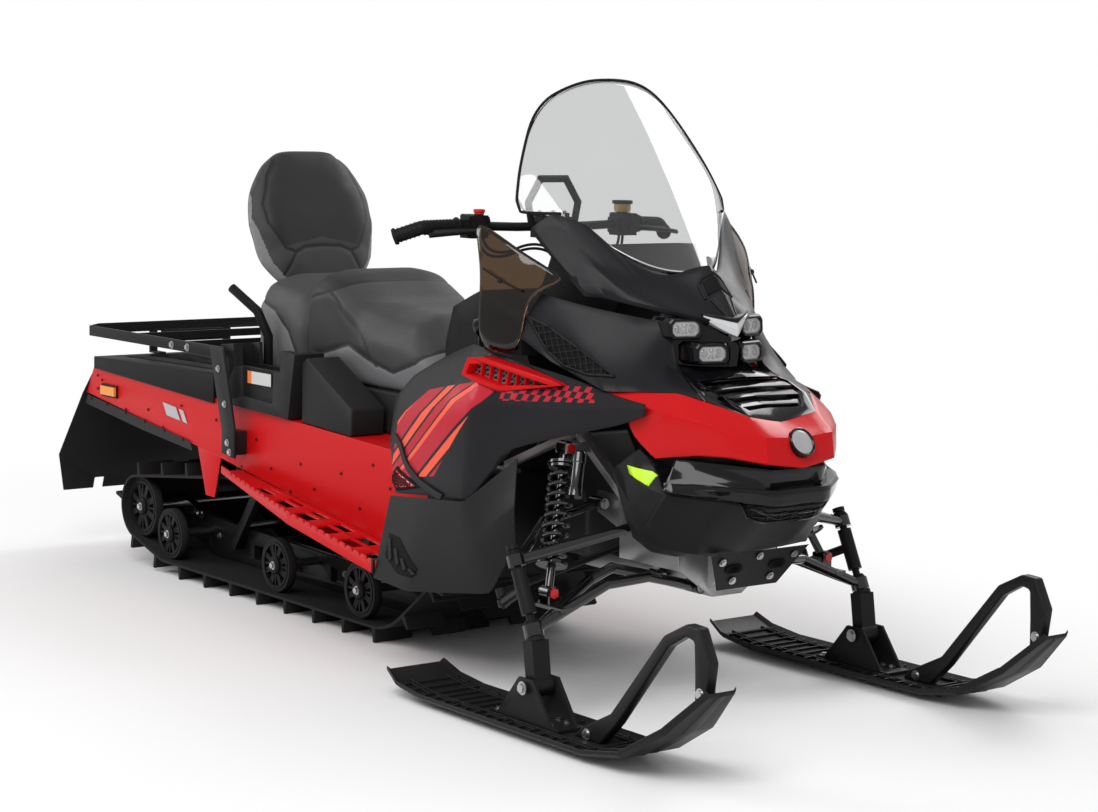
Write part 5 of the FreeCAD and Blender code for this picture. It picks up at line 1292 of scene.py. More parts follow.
# Profiles of the ring and the plain disc on the nose, as (radius, along) in metres
NOSE_RING = ((0.027, -0.012), (0.034, -0.012), (0.0345, 0.004), (0.032, 0.006), (0.0295, 0.0045),
             (0.027, 0.0))
NOSE_DISC = ((0.0001, -0.008), (0.0285, -0.008), (0.0292, 0.0028), (0.027, 0.0044), (0.018, 0.0052),
             (0.0001, 0.0056))
# Corners of the bright patch on the belly's left
PATCH_CORNERS = ((146, 342, 597), (214, 318, 582), (178, 324, 548), (146, 341, 576))
# Lower part of the dark sheet behind the grille, painted shade of the nose's inside: across, then (along, up)
# of its two edges
GRILLE_SHADE_ROWS = (
    (0, (270, 640), (266, 570)), (100, (262, 650), (256, 572)),
    (188, (236, 662), (226, 576)), (290, (190, 668), (180, 592)),
)
# Skid bracket: along, half its width and up, at its upper and its lower edge
BRACKET_HIGH = (196, 150, 384)
BRACKET_LOW = (150, 92, 292)
BRACKET_BOLTS = ((-110, 366), (110, 366), (-58, 316), (58, 316), (0, 372))
BRACKET_SLOT_AT = 0.42


def make_grille_shade():
    """Dark sheet behind the grille: painted shade of the nose's hollow inside."""
    rows = []
    for y in (-190, -95, 0, 95, 190):
        line = ((58, 820), (80, 783), (154, 730), (234, 668 + abs(y) * 0.25))
        rows.append([swept(at(x, y, z)) for x, z in line])
    bm = bmesh.new()
    lofted(bm, rows)
    lofted(bm, swept_rows(GRILLE_SHADE_ROWS))
    walled(piece("grille_back", bm, "black_and_painted_shade"), 0.003)


def make_belly_grille(belly):
    """Hexagon pattern in a frame on the belly, and its side ribs."""
    back = Vector((-0.7, 0, 0.7)).normalized()
    outline = [Vector(spot) for spot in ((-0.14, 0.48), (0.14, 0.48), (0.112, 0.438), (-0.112, 0.438))]
    board = [at(310, spot.x * 1000, spot.y * 1000) for spot in outline]
    # Dark board behind the hexagons: painted shade of the opening under them
    decal("belly_grille_back", board, belly, back, "black_and_painted_shade", lift=0.0006, thickness=0.0016)
    bm = bmesh.new()
    for run, across in runs_across(outline, (30, 90, 150), 0.036):
        points = [laid(belly, at(320, spot.x * 1000, spot.y * 1000), back, 0.0024) for spot in run]
        ribbon(bm, points, Vector((0, across.x, across.y)), 0.0022)
    for a, b in zip(board, board[1:] + board[:1]):
        points = [laid(belly, a.lerp(b, share / 10), back, 0.003) for share in range(11)]
        ribbon(bm, points, (b - a).normalized().cross(back).normalized(), 0.006)
    walled(piece("belly_grille", bm, "gloss_black"), 0.003)


def make_bracket():
    """Plate under the nose with two slots, painted as dark patches of shade, and its bolts, in front of the
    lower arms.
    """
    high, low = BRACKET_HIGH, BRACKET_LOW
    corners = [at(x, side * y, z) for side, (x, y, z) in ((-1, high), (1, high), (1, low), (-1, low))]
    facing = (corners[1] - corners[0]).cross(corners[2] - corners[1]).normalized()
    facing = facing if facing.x > 0 else -facing

    def on_plate(y, share, out):
        """A place on the bracket's front, at a share of its height from above."""
        x, z = high[0] + (low[0] - high[0]) * share, high[2] + (low[2] - high[2]) * share
        return at(x, y, z) + facing * out

    bm, bolts, slots = (bmesh.new() for _ in range(3))
    plate(bm, corners, 0.005)
    rounded(piece("skid_bracket", bm, "charcoal_plastic", angle=30), 0.0015)
    for y, z in BRACKET_BOLTS:
        bolt(bolts, on_plate(y, (high[2] - z) / (high[2] - low[2]), 0.0035), facing, 0.007, 0.004)
    # Each slot is a row of dark discs on the plate: painted shade of an opening
    for y in (-66, 66):
        for shift in (-14, -7, 0, 7, 14):
            disc(slots, on_plate(y + shift, BRACKET_SLOT_AT, 0.003), facing, 0.011, 0.0015, 20)
    piece("bracket_bolts", bolts, "bright_steel", angle=30)
    piece("bracket_slots", slots, "black_and_painted_shade", angle=30)


def make_scoop(shroud):
    """Raised U and a tapering channel on the snout of the shroud."""
    down = Vector((-0.55, 0, -0.83)).normalized()
    channel = [at(44, -27, 964), at(44, 27, 964), at(84, 9, 906), at(84, -9, 906)]
    decal("snout_channel", channel, shroud, down, "charcoal_plastic", 0.0012, 0.002, 0.006)
    bm = bmesh.new()
    arch = [(40, -38, 962), (8, -36, 990), (2, -26, 996), (2, 26, 996), (8, 36, 990), (40, 38, 962)]
    for path in (arch, [(48, -28, 962), (84, -10, 908)], [(48, 28, 962), (84, 10, 908)]):
        points = []
        for a, b in zip(path, path[1:]):
            points += [at(*a).lerp(at(*b), share / 6) for share in range(6)]
        points.append(at(*path[-1]))
        add_pipe(bm, [laid(shroud, point, down, 0.001) for point in points], 0.004, smooth=False)
    piece("snout_frame", bm, "panel_black")
    # Dark patch inside the U: painted shade of its recess, which is not modelled
    recess = [at(36, -30, 966), at(8, -28, 988), at(8, 28, 988), at(36, 30, 966)]
    decal("snout_recess", recess, shroud, down, "black_and_painted_shade", 0.0012, 0.002, 0.006)


class SNOW_OT_front(Operator):
    """Makes the plain disc, the scoop, the patches, the belly grille and the skid bracket"""

    bl_idname = "snow.front"
    bl_label = "Nose and belly"

    def execute(self, context):
        nose, belly, shroud = (surface(name + "_skin") for name in SNOUT)
        slope = Vector((0.85, 0, 0.5)).normalized()
        middle = laid(nose, at(330, 0, 652), -slope, 0.001)
        for name, profile, finish, slot in (
            ("nose_ring", NOSE_RING, "gloss_black", "gloss_black"),
            ("nose_disc", NOSE_DISC, "satin_silver", "lamp_clear"),
        ):
            bm = bmesh.new()
            lathe(bm, profile, middle, slope)
            piece(name, bm, finish, angle=40)
        for name, side in SIDES:
            away = Vector((-0.55, -side * 0.8, 0)).normalized()
            corners = [swept(at(x, side * y, z)) for x, y, z in PATCH_CORNERS]
            decal("patch_" + name, corners, belly, away, "green_patch")
        make_belly_grille(belly)
        make_bracket()
        make_scoop(shroud)
        make_grille_shade()
        return {"FINISHED"}


# Side vents, braces and louvres

# Outlines and lines on a side, as (along, up) in millimetres
HOOD_VENT = ((-165, 912), (-85, 896), (20, 856), (128, 806), (60, 800), (-20, 812), (-75, 838))
INTAKE_FIELD = ((-352, 760), (-338, 784), (-284, 790), (-60, 767), (-30, 764), (-222, 744), (-312, 757))
BRACE = ((-688, 574), (-640, 556), (-588, 512), (-520, 482), (-405, 456))
REFLECTOR_BASE = ((-690, 470), (-650, 505), (-520, 470), (-628, 448))
REFLECTOR = ((-680, 472), (-650, 496), (-545, 471), (-626, 455))
PANEL_SLOT = ((-150, 600), (-190, 585), (-236, 470), (-222, 468), (-176, 570))
LOUVRE_FIELD = ((-610, 350), (-560, 346), (-470, 284), (-487, 262), (-545, 262), (-612, 296))
# Planes beside the machine from which they are laid on, in millimetres from its middle
HOOD_SIDE = 390
INTAKE_BACK_SIDE = 404
INTAKE_SIDE = 412
PANEL_SIDE = 470
LOUVRE_SIDE = 490
# Profile of the knob beside the tank, as (radius, along) in metres
KNOB = ((0.0001, -0.004), (0.012, -0.002), (0.019, 0.012), (0.021, 0.026), (0.017, 0.038), (0.0001, 0.043))


def side_net(bm, outline, degrees, pitch, width, place):
    """Ribbons at several angles across a flat outline on a side; place gives each spot's point."""
    for run, across in runs_across(outline, degrees, pitch):
        ribbon(bm, [place(spot) for spot in run], Vector((across.x, 0, across.y)), width)


def make_vent(name, side, hood):
    """Dark field, painted shade of the vent's opening, with a diamond mesh along the side of the hood."""
    inward = Vector((-0.2, -side, -0.25)).normalized()
    outline = flat(HOOD_VENT, 0)

    def beside(spot):
        """A flat spot's point beside the hood."""
        return swept(at(spot.x * 1000, side * HOOD_SIDE, spot.y * 1000)) + Vector((0, side * 0.03, 0))

    # The dark field is painted shade of the opening under the mesh
    field = [beside(spot) for spot in outline]
    decal("vent_field_" + name, field, hood, inward, "black_and_painted_shade", 0.0008, 0.0016)
    bm = bmesh.new()
    side_net(bm, outline, (12, 118), 0.017, 0.0026,
             lambda spot: laid(hood, beside(spot), inward, 0.0026))
    for a, b in zip(outline, outline[1:] + outline[:1]):
        points = [laid(hood, beside(a.lerp(b, share / 8)), inward, 0.003) for share in range(9)]
        edge = (b - a).normalized()
        ribbon(bm, points, Vector((-edge.y, 0, edge.x)), 0.006)
    walled(piece("vent_mesh_" + name, bm, "charcoal_plastic"), 0.003)


def make_intake(name, side):
    """Grey mesh behind the louvres of the red frame, and a dark plate behind it, painted shade of the
    intake's inside.
    """
    bm = bmesh.new()
    side_net(bm, flat(INTAKE_FIELD, 0), (-8, 34), 0.0105, 0.0024,
             lambda spot: swept(at(spot.x * 1000, side * INTAKE_SIDE, spot.y * 1000)))
    walled(piece("intake_mesh_" + name, bm, "vent_grey"), 0.002)
    # Dark plate behind the mesh: painted shade of the intake's inside
    bm = bmesh.new()
    plate(bm, [swept(at(x, side * INTAKE_BACK_SIDE, z)) for x, z in INTAKE_FIELD], 0.003)
    piece("intake_back_" + name, bm, "intake_painted_shade", angle=30)


def make_brace(name, side, panel, inward):
    """Bent brace on the side panel, and the dark base of the reflector at its foot."""
    points = []
    for (x0, z0), (x1, z1) in zip(BRACE, BRACE[1:]):
        for share in (step / 8 for step in range(8)):
            points.append(at(x0 + (x1 - x0) * share, side * PANEL_SIDE, z0 + (z1 - z0) * share))
    bm = bmesh.new()
    points = [laid(panel, point, inward, 0.003) for point in points]
    ribbon(bm, points, Vector((0.45, 0, 0.9)).normalized(), 0.017)
    rounded(walled(piece("brace_" + name, bm, "panel_black"), 0.008), 0.002)
    foot = [at(x, side * PANEL_SIDE, z) for x, z in REFLECTOR_BASE]
    decal("reflector_base_" + name, foot, panel, inward, "black_and_painted_shade", 0.001, 0.003)


def make_honeycomb(name, side, panel, inward):
    """Red hexagon reflector at the foot of the brace."""
    outline = flat(REFLECTOR, 0)

    def beside(spot):
        """A flat spot's point beside the panel."""
        return at(spot.x * 1000, side * PANEL_SIDE, spot.y * 1000)

    field = [beside(spot) for spot in outline]
    decal("reflector_" + name, field, panel, inward, "red_lens", 0.0032, 0.002)
    bm = bmesh.new()
    side_net(bm, outline, (0, 60, 120), 0.008, 0.0014,
             lambda spot: laid(panel, beside(spot), inward, 0.0046))
    walled(piece("reflector_cells_" + name, bm, "black_and_painted_shade"), 0.0014)


def make_louvres(name, side, lower, inward):
    """Dark field, painted shade of a recess, with four slanted bars low on the side."""
    field = [at(x, side * LOUVRE_SIDE, z) for x, z in LOUVRE_FIELD]
    # The field is painted shade: it lies on the panel, not in a recess
    decal("louvre_field_" + name, field, lower, inward, "black_and_painted_shade", 0.0008, 0.0016)
    bm = bmesh.new()
    for shift in (0, 34, 68, 102):
        head = at(-600 + shift, side * LOUVRE_SIDE, 338 - shift * 0.55)
        foot = at(-580 + shift, side * LOUVRE_SIDE, 290 - shift * 0.2)
        points = [laid(lower, head.lerp(foot, step / 6), inward, 0.003) for step in range(7)]
        ribbon(bm, points, Vector((1, 0, 0.3)).normalized(), 0.012)
    rounded(walled(piece("louvres_" + name, bm, "charcoal_plastic"), 0.006), 0.0015)


def make_knob():
    """Knob on a stalk beside the tank, on the right."""
    bm = bmesh.new()
    add_pipe(bm, [at(-572, -232, 770), at(-566, -246, 800), at(-557, -250, 835)], 0.006)
    lathe(bm, KNOB, at(-557, -250, 826), (0.1, -0.1, 1), 32)
    piece("choke_knob", bm, "gloss_black", angle=40)


class SNOW_OT_sides(Operator):
    """Makes the vents, braces, reflectors and louvres on both sides"""

    bl_idname = "snow.sides"
    bl_label = "Side details"

    def execute(self, context):
        hood = surface("hood_skin")
        for name, side in SIDES:
            panel = surface("side_panel_" + name + "_skin")
            lower = surface("lower_panel_" + name + "_skin")
            inward = Vector((0, -side, 0))
            make_vent(name, side, hood)
            make_intake(name, side)
            make_brace(name, side, panel, inward)
            make_honeycomb(name, side, panel, inward)
            make_louvres(name, side, lower, inward)
            # Dark patch on the side panel: painted shade of a slot, which is not cut
            slot = [swept(at(x, side * PANEL_SIDE, z)) for x, z in PANEL_SLOT]
            decal("panel_slot_" + name, slot, panel, inward, "black_and_painted_shade", 0.0008, 0.0016)
        make_knob()
        return {"FINISHED"}


# Suspension fittings


# Profile of a damper's canister in metres, and its collars: share of the shock's length and radius
CANISTER = (
    (0.0001, 0), (0.014, 0.0), (0.017, 0.004), (0.017, 0.026), (0.0155, 0.028), (0.0155, 0.085),
    (0.017, 0.088), (0.017, 0.108), (0.0001, 0.112),
)
COLLARS = ((0.115, 0.037), (0.14, 0.034), (0.8, 0.036))
# Pivots of the arms on the frame, and upper and lower ball joint of the left spindle, in millimetres
ARM_PIVOTS = ((36, 166, 447), (-190, 166, 455), (40, 61, 283), (-96, 61, 283))
BALL_JOINTS = ((-60, 504, 369), (8, 504, 223))
# Distance from a pivot's or an eye's middle to its face
PIVOT_HALF = 22.2
EYE_HALF = 0.0155


class SNOW_OT_suspension(Operator):
    """Makes the dampers' canisters and caps, the bolts and the ball joint boots"""

    bl_idname = "snow.suspension"
    bl_label = "Suspension fittings"

    def execute(self, context):
        cans, caps, bolts, boots = (bmesh.new() for _ in range(4))
        for _, side in SIDES:
            top, low = shock_ends(side)
            axis = (low - top).normalized()
            lathe(cans, CANISTER, top.lerp(low, 0.06) + Vector((0.042, -side * 0.012, 0.012)), axis, 32)
            for share, radius in COLLARS:
                collar = ((0.012, 0), (radius, 0), (radius, 0.006), (0.012, 0.008))
                lathe(cans, collar, top.lerp(low, share), axis, 36)
            for spot in (top, low):
                disc(caps, spot + Vector((EYE_HALF, 0, 0)), (1, 0, 0), 0.012, 0.009, 6)
                disc(bolts, spot - Vector((EYE_HALF, 0, 0)), (-1, 0, 0), 0.012, 0.008, 6)
            for x, y, z in ARM_PIVOTS:
                for end in (1, -1):
                    bolt(bolts, at(x + end * PIVOT_HALF, side * y, z), (end, 0, 0), 0.009, 0.006)
            high, low = (at(x, side * y, z) for x, y, z in BALL_JOINTS)
            axis = (high - low).normalized()
            for joint in (high, low):
                for ring in range(3):
                    wide, bulge = 0.019 - ring * 0.002, 0.0195 - ring * 0.002
                    fold = ((0.0125, 0), (wide, 0), (bulge, 0.0015), (wide, 0.003), (0.0125, 0.003))
                    lathe(boots, fold, joint + axis * (0.0135 + ring * 0.0035), axis, 28)
        piece("damper_canisters", cans, "gloss_black_metal", angle=35)
        piece("damper_caps", caps, "red_cap", angle=30)
        piece("arm_bolts", bolts, "bright_steel", angle=30)
        piece("joint_boots", boots, "flap_rubber", angle=40)
        return {"FINISHED"}


# Track and wheels

# Wheels of the track: how far behind the front axle line, how far up, and radius in millimetres
WHEEL_BACKS = ((2234, 179, 89), (2066, 119, 75), (1464, 119, 75), (1040, 119, 75))
WHEEL_MIDDLE = 272
WHEEL_HALF = 0.011
WHEEL_RIBS = 12
# Profile of a wheel's hub, as (radius, along) in metres
HUB = ((0.013, 0), (0.024, 0), (0.026, 0.004), (0.021, 0.009), (0.013, 0.010))
# Bolts of the slide rails and outline of the axle adjusters, as (along, up), and their planes
RAIL_BOLTS = ((-2020, 108), (-1890, 98), (-1640, 104), (-1330, 100), (-1240, 98), (-1120, 104), (-900, 150))
RAIL_SIDE = 141.2
ADJUSTER = ((-2250, 160), (-2262, 180), (-2248, 200), (-2200, 196), (-2120, 176), (-2090, 168),
            (-2090, 150), (-2140, 152), (-2200, 158))
ADJUSTER_SIDE = 158


def make_wheel(centre, side, rim, tyres, hubs, spokes, bolts):
    """Tyre, hub, ribs and bolt of one wheel."""
    axis, half = Vector((0, side, 0)), WHEEL_HALF
    tyre = ((rim - 0.009, -half - 0.0012), (rim - 0.002, -half - 0.0012), (rim + 0.0002, -half + 0.002),
            (rim + 0.0002, half - 0.002), (rim - 0.002, half + 0.0012), (rim - 0.009, half + 0.0012))
    lathe(tyres, tyre, centre, axis, 56)
    face = centre + axis * (half + 0.0006)
    lathe(hubs, HUB, face, axis, 32)
    band = ((rim - 0.018, 0), (rim - 0.011, 0), (rim - 0.011, 0.0022), (rim - 0.018, 0.0022))
    lathe(hubs, band, face, axis, 56)
    for turn in (math.tau * number / WHEEL_RIBS for number in range(WHEEL_RIBS)):
        out = Vector((math.cos(turn), 0, math.sin(turn)))
        along = out.cross(axis)
        near, far = face + out * 0.024, face + out * (rim - 0.013)
        rib = [near - along * 0.0035, near + along * 0.0035, far + along * 0.0025, far - along * 0.0025]
        plate(spokes, rib, -0.002)
    bolt(bolts, face + axis * 0.008, axis, 0.0085, 0.006)


class SNOW_OT_track(Operator):
    """Makes tyres, hubs and bolts of the track's wheels and rails"""

    bl_idname = "snow.track"
    bl_label = "Track fittings"

    def execute(self, context):
        tyres, hubs, bolts, spokes = (bmesh.new() for _ in range(4))
        for back, up, radius in WHEEL_BACKS:
            for _, side in SIDES:
                centre = at(-back, side * WHEEL_MIDDLE, up)
                make_wheel(centre, side, radius / 1000, tyres, hubs, spokes, bolts)
        piece("wheel_tyres", tyres, "track_rubber", angle=35)
        piece("wheel_hubs", hubs, "black_plastic", angle=35)
        rounded(piece("wheel_ribs", spokes, "black_plastic", angle=30), 0.0006)
        for x, z in RAIL_BOLTS:
            for side in (-1, 1):
                bolt(bolts, at(x, side * RAIL_SIDE, z), (0, side, 0), 0.007, 0.005)
        piece("wheel_bolts", bolts, "bright_steel", angle=30)
        alloy = bmesh.new()
        for side in (-1, 1):
            plate(alloy, [at(x, side * ADJUSTER_SIDE, z) for x, z in ADJUSTER], 0.008)
            bolt(alloy, at(-2120, side * (ADJUSTER_SIDE + 4.2), 164), (0, side, 0), 0.007, 0.005)
        rounded(piece("axle_adjusters", alloy, "polished_alloy", angle=30), 0.0015)
        return {"FINISHED"}


# Rear end


# Outer sides of the tunnel, the labels, the box holders and the seat covers, in millimetres from the middle
TUNNEL_SIDE = 335.4
LABEL_SIDE = 339.0
HOLDER_SIDE = 372.2
COVER_SIDE = 380.4
# Outlines and places on them, as (along, up)
STRIP = ((-2482, 496), (-1845, 424), (-1832, 398), (-2120, 424), (-2500, 468))
TUNNEL_RIVETS = (
    (-2420, 560), (-2420, 520), (-2392, 548), (-2100, 488), (-1900, 520), (-1700, 500), (-1600, 440),
    (-1480, 470), (-1400, 400), (-1250, 430), (-1180, 372), (-1050, 430), (-960, 350), (-820, 420),
    (-760, 330), (-2240, 474), (-2010, 446), (-1560, 385), (-1300, 350), (-900, 470),
)
STRIP_RIVETS = ((-2460, 487), (-2360, 478), (-2240, 466), (-2120, 452), (-2000, 438), (-1890, 424))
SIDE_MARKS = (
    ((-2010, 520), (-1930, 512), (-1905, 476), (-1985, 484)),
    ((-1915, 510), (-1888, 507), (-1863, 472), (-1890, 475)),
)
LABEL = ((-1500, 656), (-1398, 656), (-1398, 622), (-1500, 622))
LABEL_END = ((-1522, 656), (-1500, 656), (-1500, 622), (-1522, 622))
HOLDER_BOLTS = ((-1888, 698), (-1798, 698), (-1648, 700), (-1618, 690))
COVER_BOLTS = ((-1610, 655), (-1575, 560), (-1560, 455), (-1548, 430))


def side_block(bm, side, low, high):
    """An upright block on one side, between two corners that are given for the left side."""
    right, left = sorted((side * low[1], side * high[1]))
    block(bm, (low[0], right, low[2]), (high[0], left, high[2]))


def make_tail(bolts):
    """Tail lamp under the rear of the rack, between its posts."""
    bm = bmesh.new()
    block(bm, (-2452, -106, 652), (-2420, 106, 690))
    rounded(piece("tail_lamp_body", bm, "black_plastic", angle=30), 0.005)
    bm = bmesh.new()
    block(bm, (-2457, -98, 657), (-2450, 98, 685))
    rounded(piece("tail_lamp_lens", bm, "red_lens", angle=30), 0.003)
    for y in (-80, 80):
        bolt(bolts, at(-2419.6, y, 672), (1, 0, 0), 0.006, 0.004)


class SNOW_OT_rear(Operator):
    """Makes the rear lamps, strips, labels, rivets and bolts"""

    bl_idname = "snow.rear"
    bl_label = "Rear fittings"

    def execute(self, context):
        rivets, strips, lamps, beds, bolts, grey, labels, ends = (bmesh.new() for _ in range(8))
        for _, side in SIDES:
            facing = (0, side, 0)

            def on_side(points, plane):
                """Points of this side on a plane beside the middle."""
                return [at(x, side * plane, z) for x, z in points]

            plate(strips, on_side(STRIP, TUNNEL_SIDE + 3), 0.003)
            side_block(lamps, side, (-2384, TUNNEL_SIDE, 506), (-2296, TUNNEL_SIDE + 12, 534))
            side_block(beds, side, (-2390, TUNNEL_SIDE, 501), (-2290, TUNNEL_SIDE + 4, 539))
            for spot in on_side(TUNNEL_RIVETS, TUNNEL_SIDE + 0.2):
                disc(rivets, spot, facing, 0.0042, 0.0018, 14)
            for spot in on_side(STRIP_RIVETS, TUNNEL_SIDE + 3):
                disc(rivets, spot, facing, 0.006, 0.002, 14)
            for outline in SIDE_MARKS:
                plate(grey, on_side(outline, TUNNEL_SIDE + 1.2), 0.001)
            plate(labels, on_side(LABEL, LABEL_SIDE), 0.0016)
            plate(ends, on_side(LABEL_END, LABEL_SIDE), 0.0016)
            for spot in on_side(HOLDER_BOLTS, HOLDER_SIDE):
                bolt(bolts, spot, facing, 0.008, 0.005)
            for spot in on_side(COVER_BOLTS, COVER_SIDE):
                bolt(bolts, spot, facing, 0.007, 0.004)
        rounded(piece("side_strips", strips, "charcoal_plastic", angle=30), 0.001)
        rounded(piece("marker_beds", beds, "black_plastic", angle=30), 0.0015)
        rounded(piece("marker_lamps", lamps, "amber_lens", angle=30), 0.003)
        piece("side_rivets", rivets, "black_metal", angle=30)
        piece("side_marks", grey, "silver_mark", angle=30)
        piece("blank_labels", labels, "blank_label", angle=30)
        piece("label_ends", ends, "orange_label", angle=30)
        make_tail(bolts)
        piece("rack_bolts", bolts, "bright_steel", angle=30)
        return {"FINISHED"}


# Handlebar

HANDLE_UP = 1085
HANDLE_BACK = 605
# Profiles of the grips' ribs, inner collars and ends, and of the fluid's cup, in metres
GRIP_RIB = ((0.0165, -0.0016), (0.0186, -0.001), (0.0186, 0.001), (0.0165, 0.0016))
GRIP_COLLAR = ((0.0165, 0), (0.0225, 0.0), (0.0225, 0.004), (0.0165, 0.005))
GRIP_END = ((0.0001, -0.004), (0.0205, -0.004), (0.0212, 0.0), (0.019, 0.005), (0.0001, 0.007))
FLUID_CUP = ((0.0001, 0), (0.019, 0), (0.0215, 0.004), (0.0215, 0.02), (0.0001, 0.02))
LEVER_RADIUS = 0.006
CABLE_RADIUS = 0.0035


def make_controls(x, z):
    """Red stop button on the right, and the brake fluid's cup on the left."""
    bm = bmesh.new()
    disc(bm, at(x + 2, -226, z + 32), (0, 0, 1), 0.0125, 0.005, 28)
    disc(bm, at(x + 2, -226, z + 37), (0, 0, 1), 0.0145, 0.008, 28)
    rounded(piece("stop_button", bm, "red_cap", "handlebar", angle=40), 0.0015)
    bm = bmesh.new()
    disc(bm, at(x + 2, -226, z + 24), (0, 0, 1), 0.011, 0.009, 24)
    disc(bm, at(x + 4, 222, z + 22), (0, 0, 1), 0.015, 0.012, 24)
    disc(bm, at(x + 4, 222, z + 54), (0, 0, 1), 0.024, 0.009, 32)
    for turn in (math.tau * number / 8 for number in range(8)):
        knurl = at(x + 4, 222, z + 54) + Vector((math.cos(turn) * 0.0235, math.sin(turn) * 0.0235, 0))
        disc(bm, knurl, (0, 0, 1), 0.003, 0.009, 8)
    block(bm, (x - 42, -30, z + 24), (x + 34, 30, z + 34))
    rounded(piece("control_mounts", bm, "bar_black", "handlebar", angle=30), 0.0015)
    bm = bmesh.new()
    lathe(bm, FLUID_CUP, at(x + 4, 222, z + 34), (0, 0, 1), 36)
    piece("fluid_cup", bm, "fluid_amber", "handlebar", angle=40)
    bm = bmesh.new()
    for y in (-21, 21):
        for shift in (-24, 24):
            bolt(bm, at(x + shift, y, z + 34), (0, 0, 1), 0.005, 0.004)
    piece("clamp_bolts", bm, "bright_steel", "handlebar", angle=30)


class SNOW_OT_handlebar(Operator):
    """Makes the grips, switches, reservoir and cables of the handlebar"""

    bl_idname = "snow.handlebar"
    bl_label = "Handlebar fittings"

    def execute(self, context):
        grips, blocks, cables = (bmesh.new() for _ in range(3))
        x, z = -HANDLE_BACK, HANDLE_UP
        for _, side in SIDES:
            def from_head(points):
                """Points of this side, from the middle of the bars."""
                return [at(x + along, side * out, z + up) for along, out, up in points]

            inner, bend, outer = from_head(((-12, 284, 3), (-30, 375, 0), (-68, 425, -22)))
            for first, second, count in ((inner, bend, 11), (bend, outer, 6)):
                axis = (second - first).normalized()
                for number in range(1, count):
                    lathe(grips, GRIP_RIB, first.lerp(second, number / count), axis, 28)
            axis = (bend - inner).normalized()
            lathe(grips, GRIP_COLLAR, inner - axis * 0.002, axis, 32)
            lathe(grips, GRIP_END, outer, (outer - bend).normalized(), 32)
            side_block(blocks, side, (x - 34, 210, z - 26), (x + 20, 258, z + 30))
            side_block(blocks, side, (x - 28, 200, z - 18), (x + 14, 272, z + 20))
            lever = ((16, 236, -2), (44, 250, -6), (50, 300, -8), (30, 392, -16))
            add_pipe(blocks, from_head(lever), LEVER_RADIUS)
            for drop, start in ((0, 214), (10, 226)):
                cable = ((2, start, -24), (6, start - 4, -52 - drop), (24, start - 50, -66 - drop),
                         (40, 110, -40 - drop), (44, 50, -44 - drop), (60, 22, -74 - drop),
                         (104, 16, -130 - drop))
                add_pipe(cables, from_head(cable), CABLE_RADIUS, resolution=3)
        piece("grip_ribs", grips, "bar_black", "handlebar", angle=50)
        rounded(piece("switch_blocks", blocks, "bar_black", "handlebar", angle=30), 0.003)
        piece("bar_cables", cables, "flap_rubber", "handlebar", angle=50)
        make_controls(x, z)
        return {"FINISHED"}


# Skis

SKI_LINE = ((-455, 49), (-400, 24), (-300, 12), (300, 12), (420, 34), (540, 105))
SKI_SOLE = 10
# Middle of a ski, places of its runs of ribs across it, and pitch of the ribs and the cross ribs along it
SKI_MIDDLE = 504
RIB_LINES = (-62, -50, 50, 62)
RIB_STEP = 25
CROSS_STEP = 40


def ski_up(x):
    """Height of a ski's upper side at a station."""
    for (x0, z0), (x1, z1) in zip(SKI_LINE, SKI_LINE[1:]):
        if x <= x1:
            return z0 + (z1 - z0) * (x - x0) / (x1 - x0) + SKI_SOLE
    return SKI_LINE[-1][1] + SKI_SOLE


class SNOW_OT_skis(Operator):
    """Makes the ribs, edges and bolts on the skis"""

    bl_idname = "snow.skis"
    bl_label = "Ski fittings"

    def execute(self, context):
        for name, side in SIDES:
            ribs, bolts = bmesh.new(), bmesh.new()
            for across in RIB_LINES:
                y = side * SKI_MIDDLE + across
                for x0 in range(-400, 400, RIB_STEP):
                    if (x0 // RIB_STEP) % 4 == 0 and abs(across) > 55:
                        continue
                    x1 = x0 + RIB_STEP
                    low = min(ski_up(x0), ski_up(x1))
                    for vert in block(ribs, (x0 - 0.5, y - 2, low - 2), (x1 + 0.5, y + 2, low + 7)):
                        end = x1 if vert.co.x > at(x0 + RIB_STEP / 2, 0, 0).x else x0
                        vert.co.z += (ski_up(end) - low) / 1000
            for x in range(-380, 420, CROSS_STEP):
                beside_saddle = -115 < x < 115 or 170 < x < 275
                for first, last in ((-78, -46), (46, 78)) if beside_saddle else ((-78, 78),):
                    block(ribs, (x - 2.5, side * SKI_MIDDLE + first, ski_up(x) - 2),
                          (x + 2.5, side * SKI_MIDDLE + last, ski_up(x) + 6))
            for x, z in ((222, ski_up(222) + 14), (590, 196)):
                for out in (1, -1):
                    bolt(bolts, at(x, side * SKI_MIDDLE + out * 14.4, z), (0, out, 0), 0.009, 0.005, 16)
            for x in (-84, -40, 76, 104):
                for y in (-24, 24):
                    bolt(bolts, at(x, side * SKI_MIDDLE + y, ski_up(0) + 8.4), (0, 0, 1), 0.007, 0.005)
            for out in (1, -1):
                bolt(bolts, at(32, side * SKI_MIDDLE + out * 46.2, 103), (0, out, 0), 0.011, 0.006)
            body = "ski_" + name
            rounded(piece("ski_ribs_" + name, ribs, "ski_plastic", body, angle=30), 0.001, 1)
            piece("ski_bolts_" + name, bolts, "bright_steel", body, angle=30)
        return {"FINISHED"}


# Studio

CAMERA_PLACE = (5.2455, -3.701, 1.344)
CAMERA_YAW = 52.56
CAMERA_PITCH = 6.67
CAMERA_ROLL = 0.90
# Distances on the floor, in its own shares, between which it turns white
FADE_FROM = 0.85
FADE_TO = 2.0


def seen_directly(tree):
    """1 for rays from the camera, through glass too, else 0."""
    rays = tree.nodes.new("ShaderNodeLightPath")
    return maths(tree, "MAXIMUM", rays.outputs["Is Camera Ray"], rays.outputs["Is Transmission Ray"])


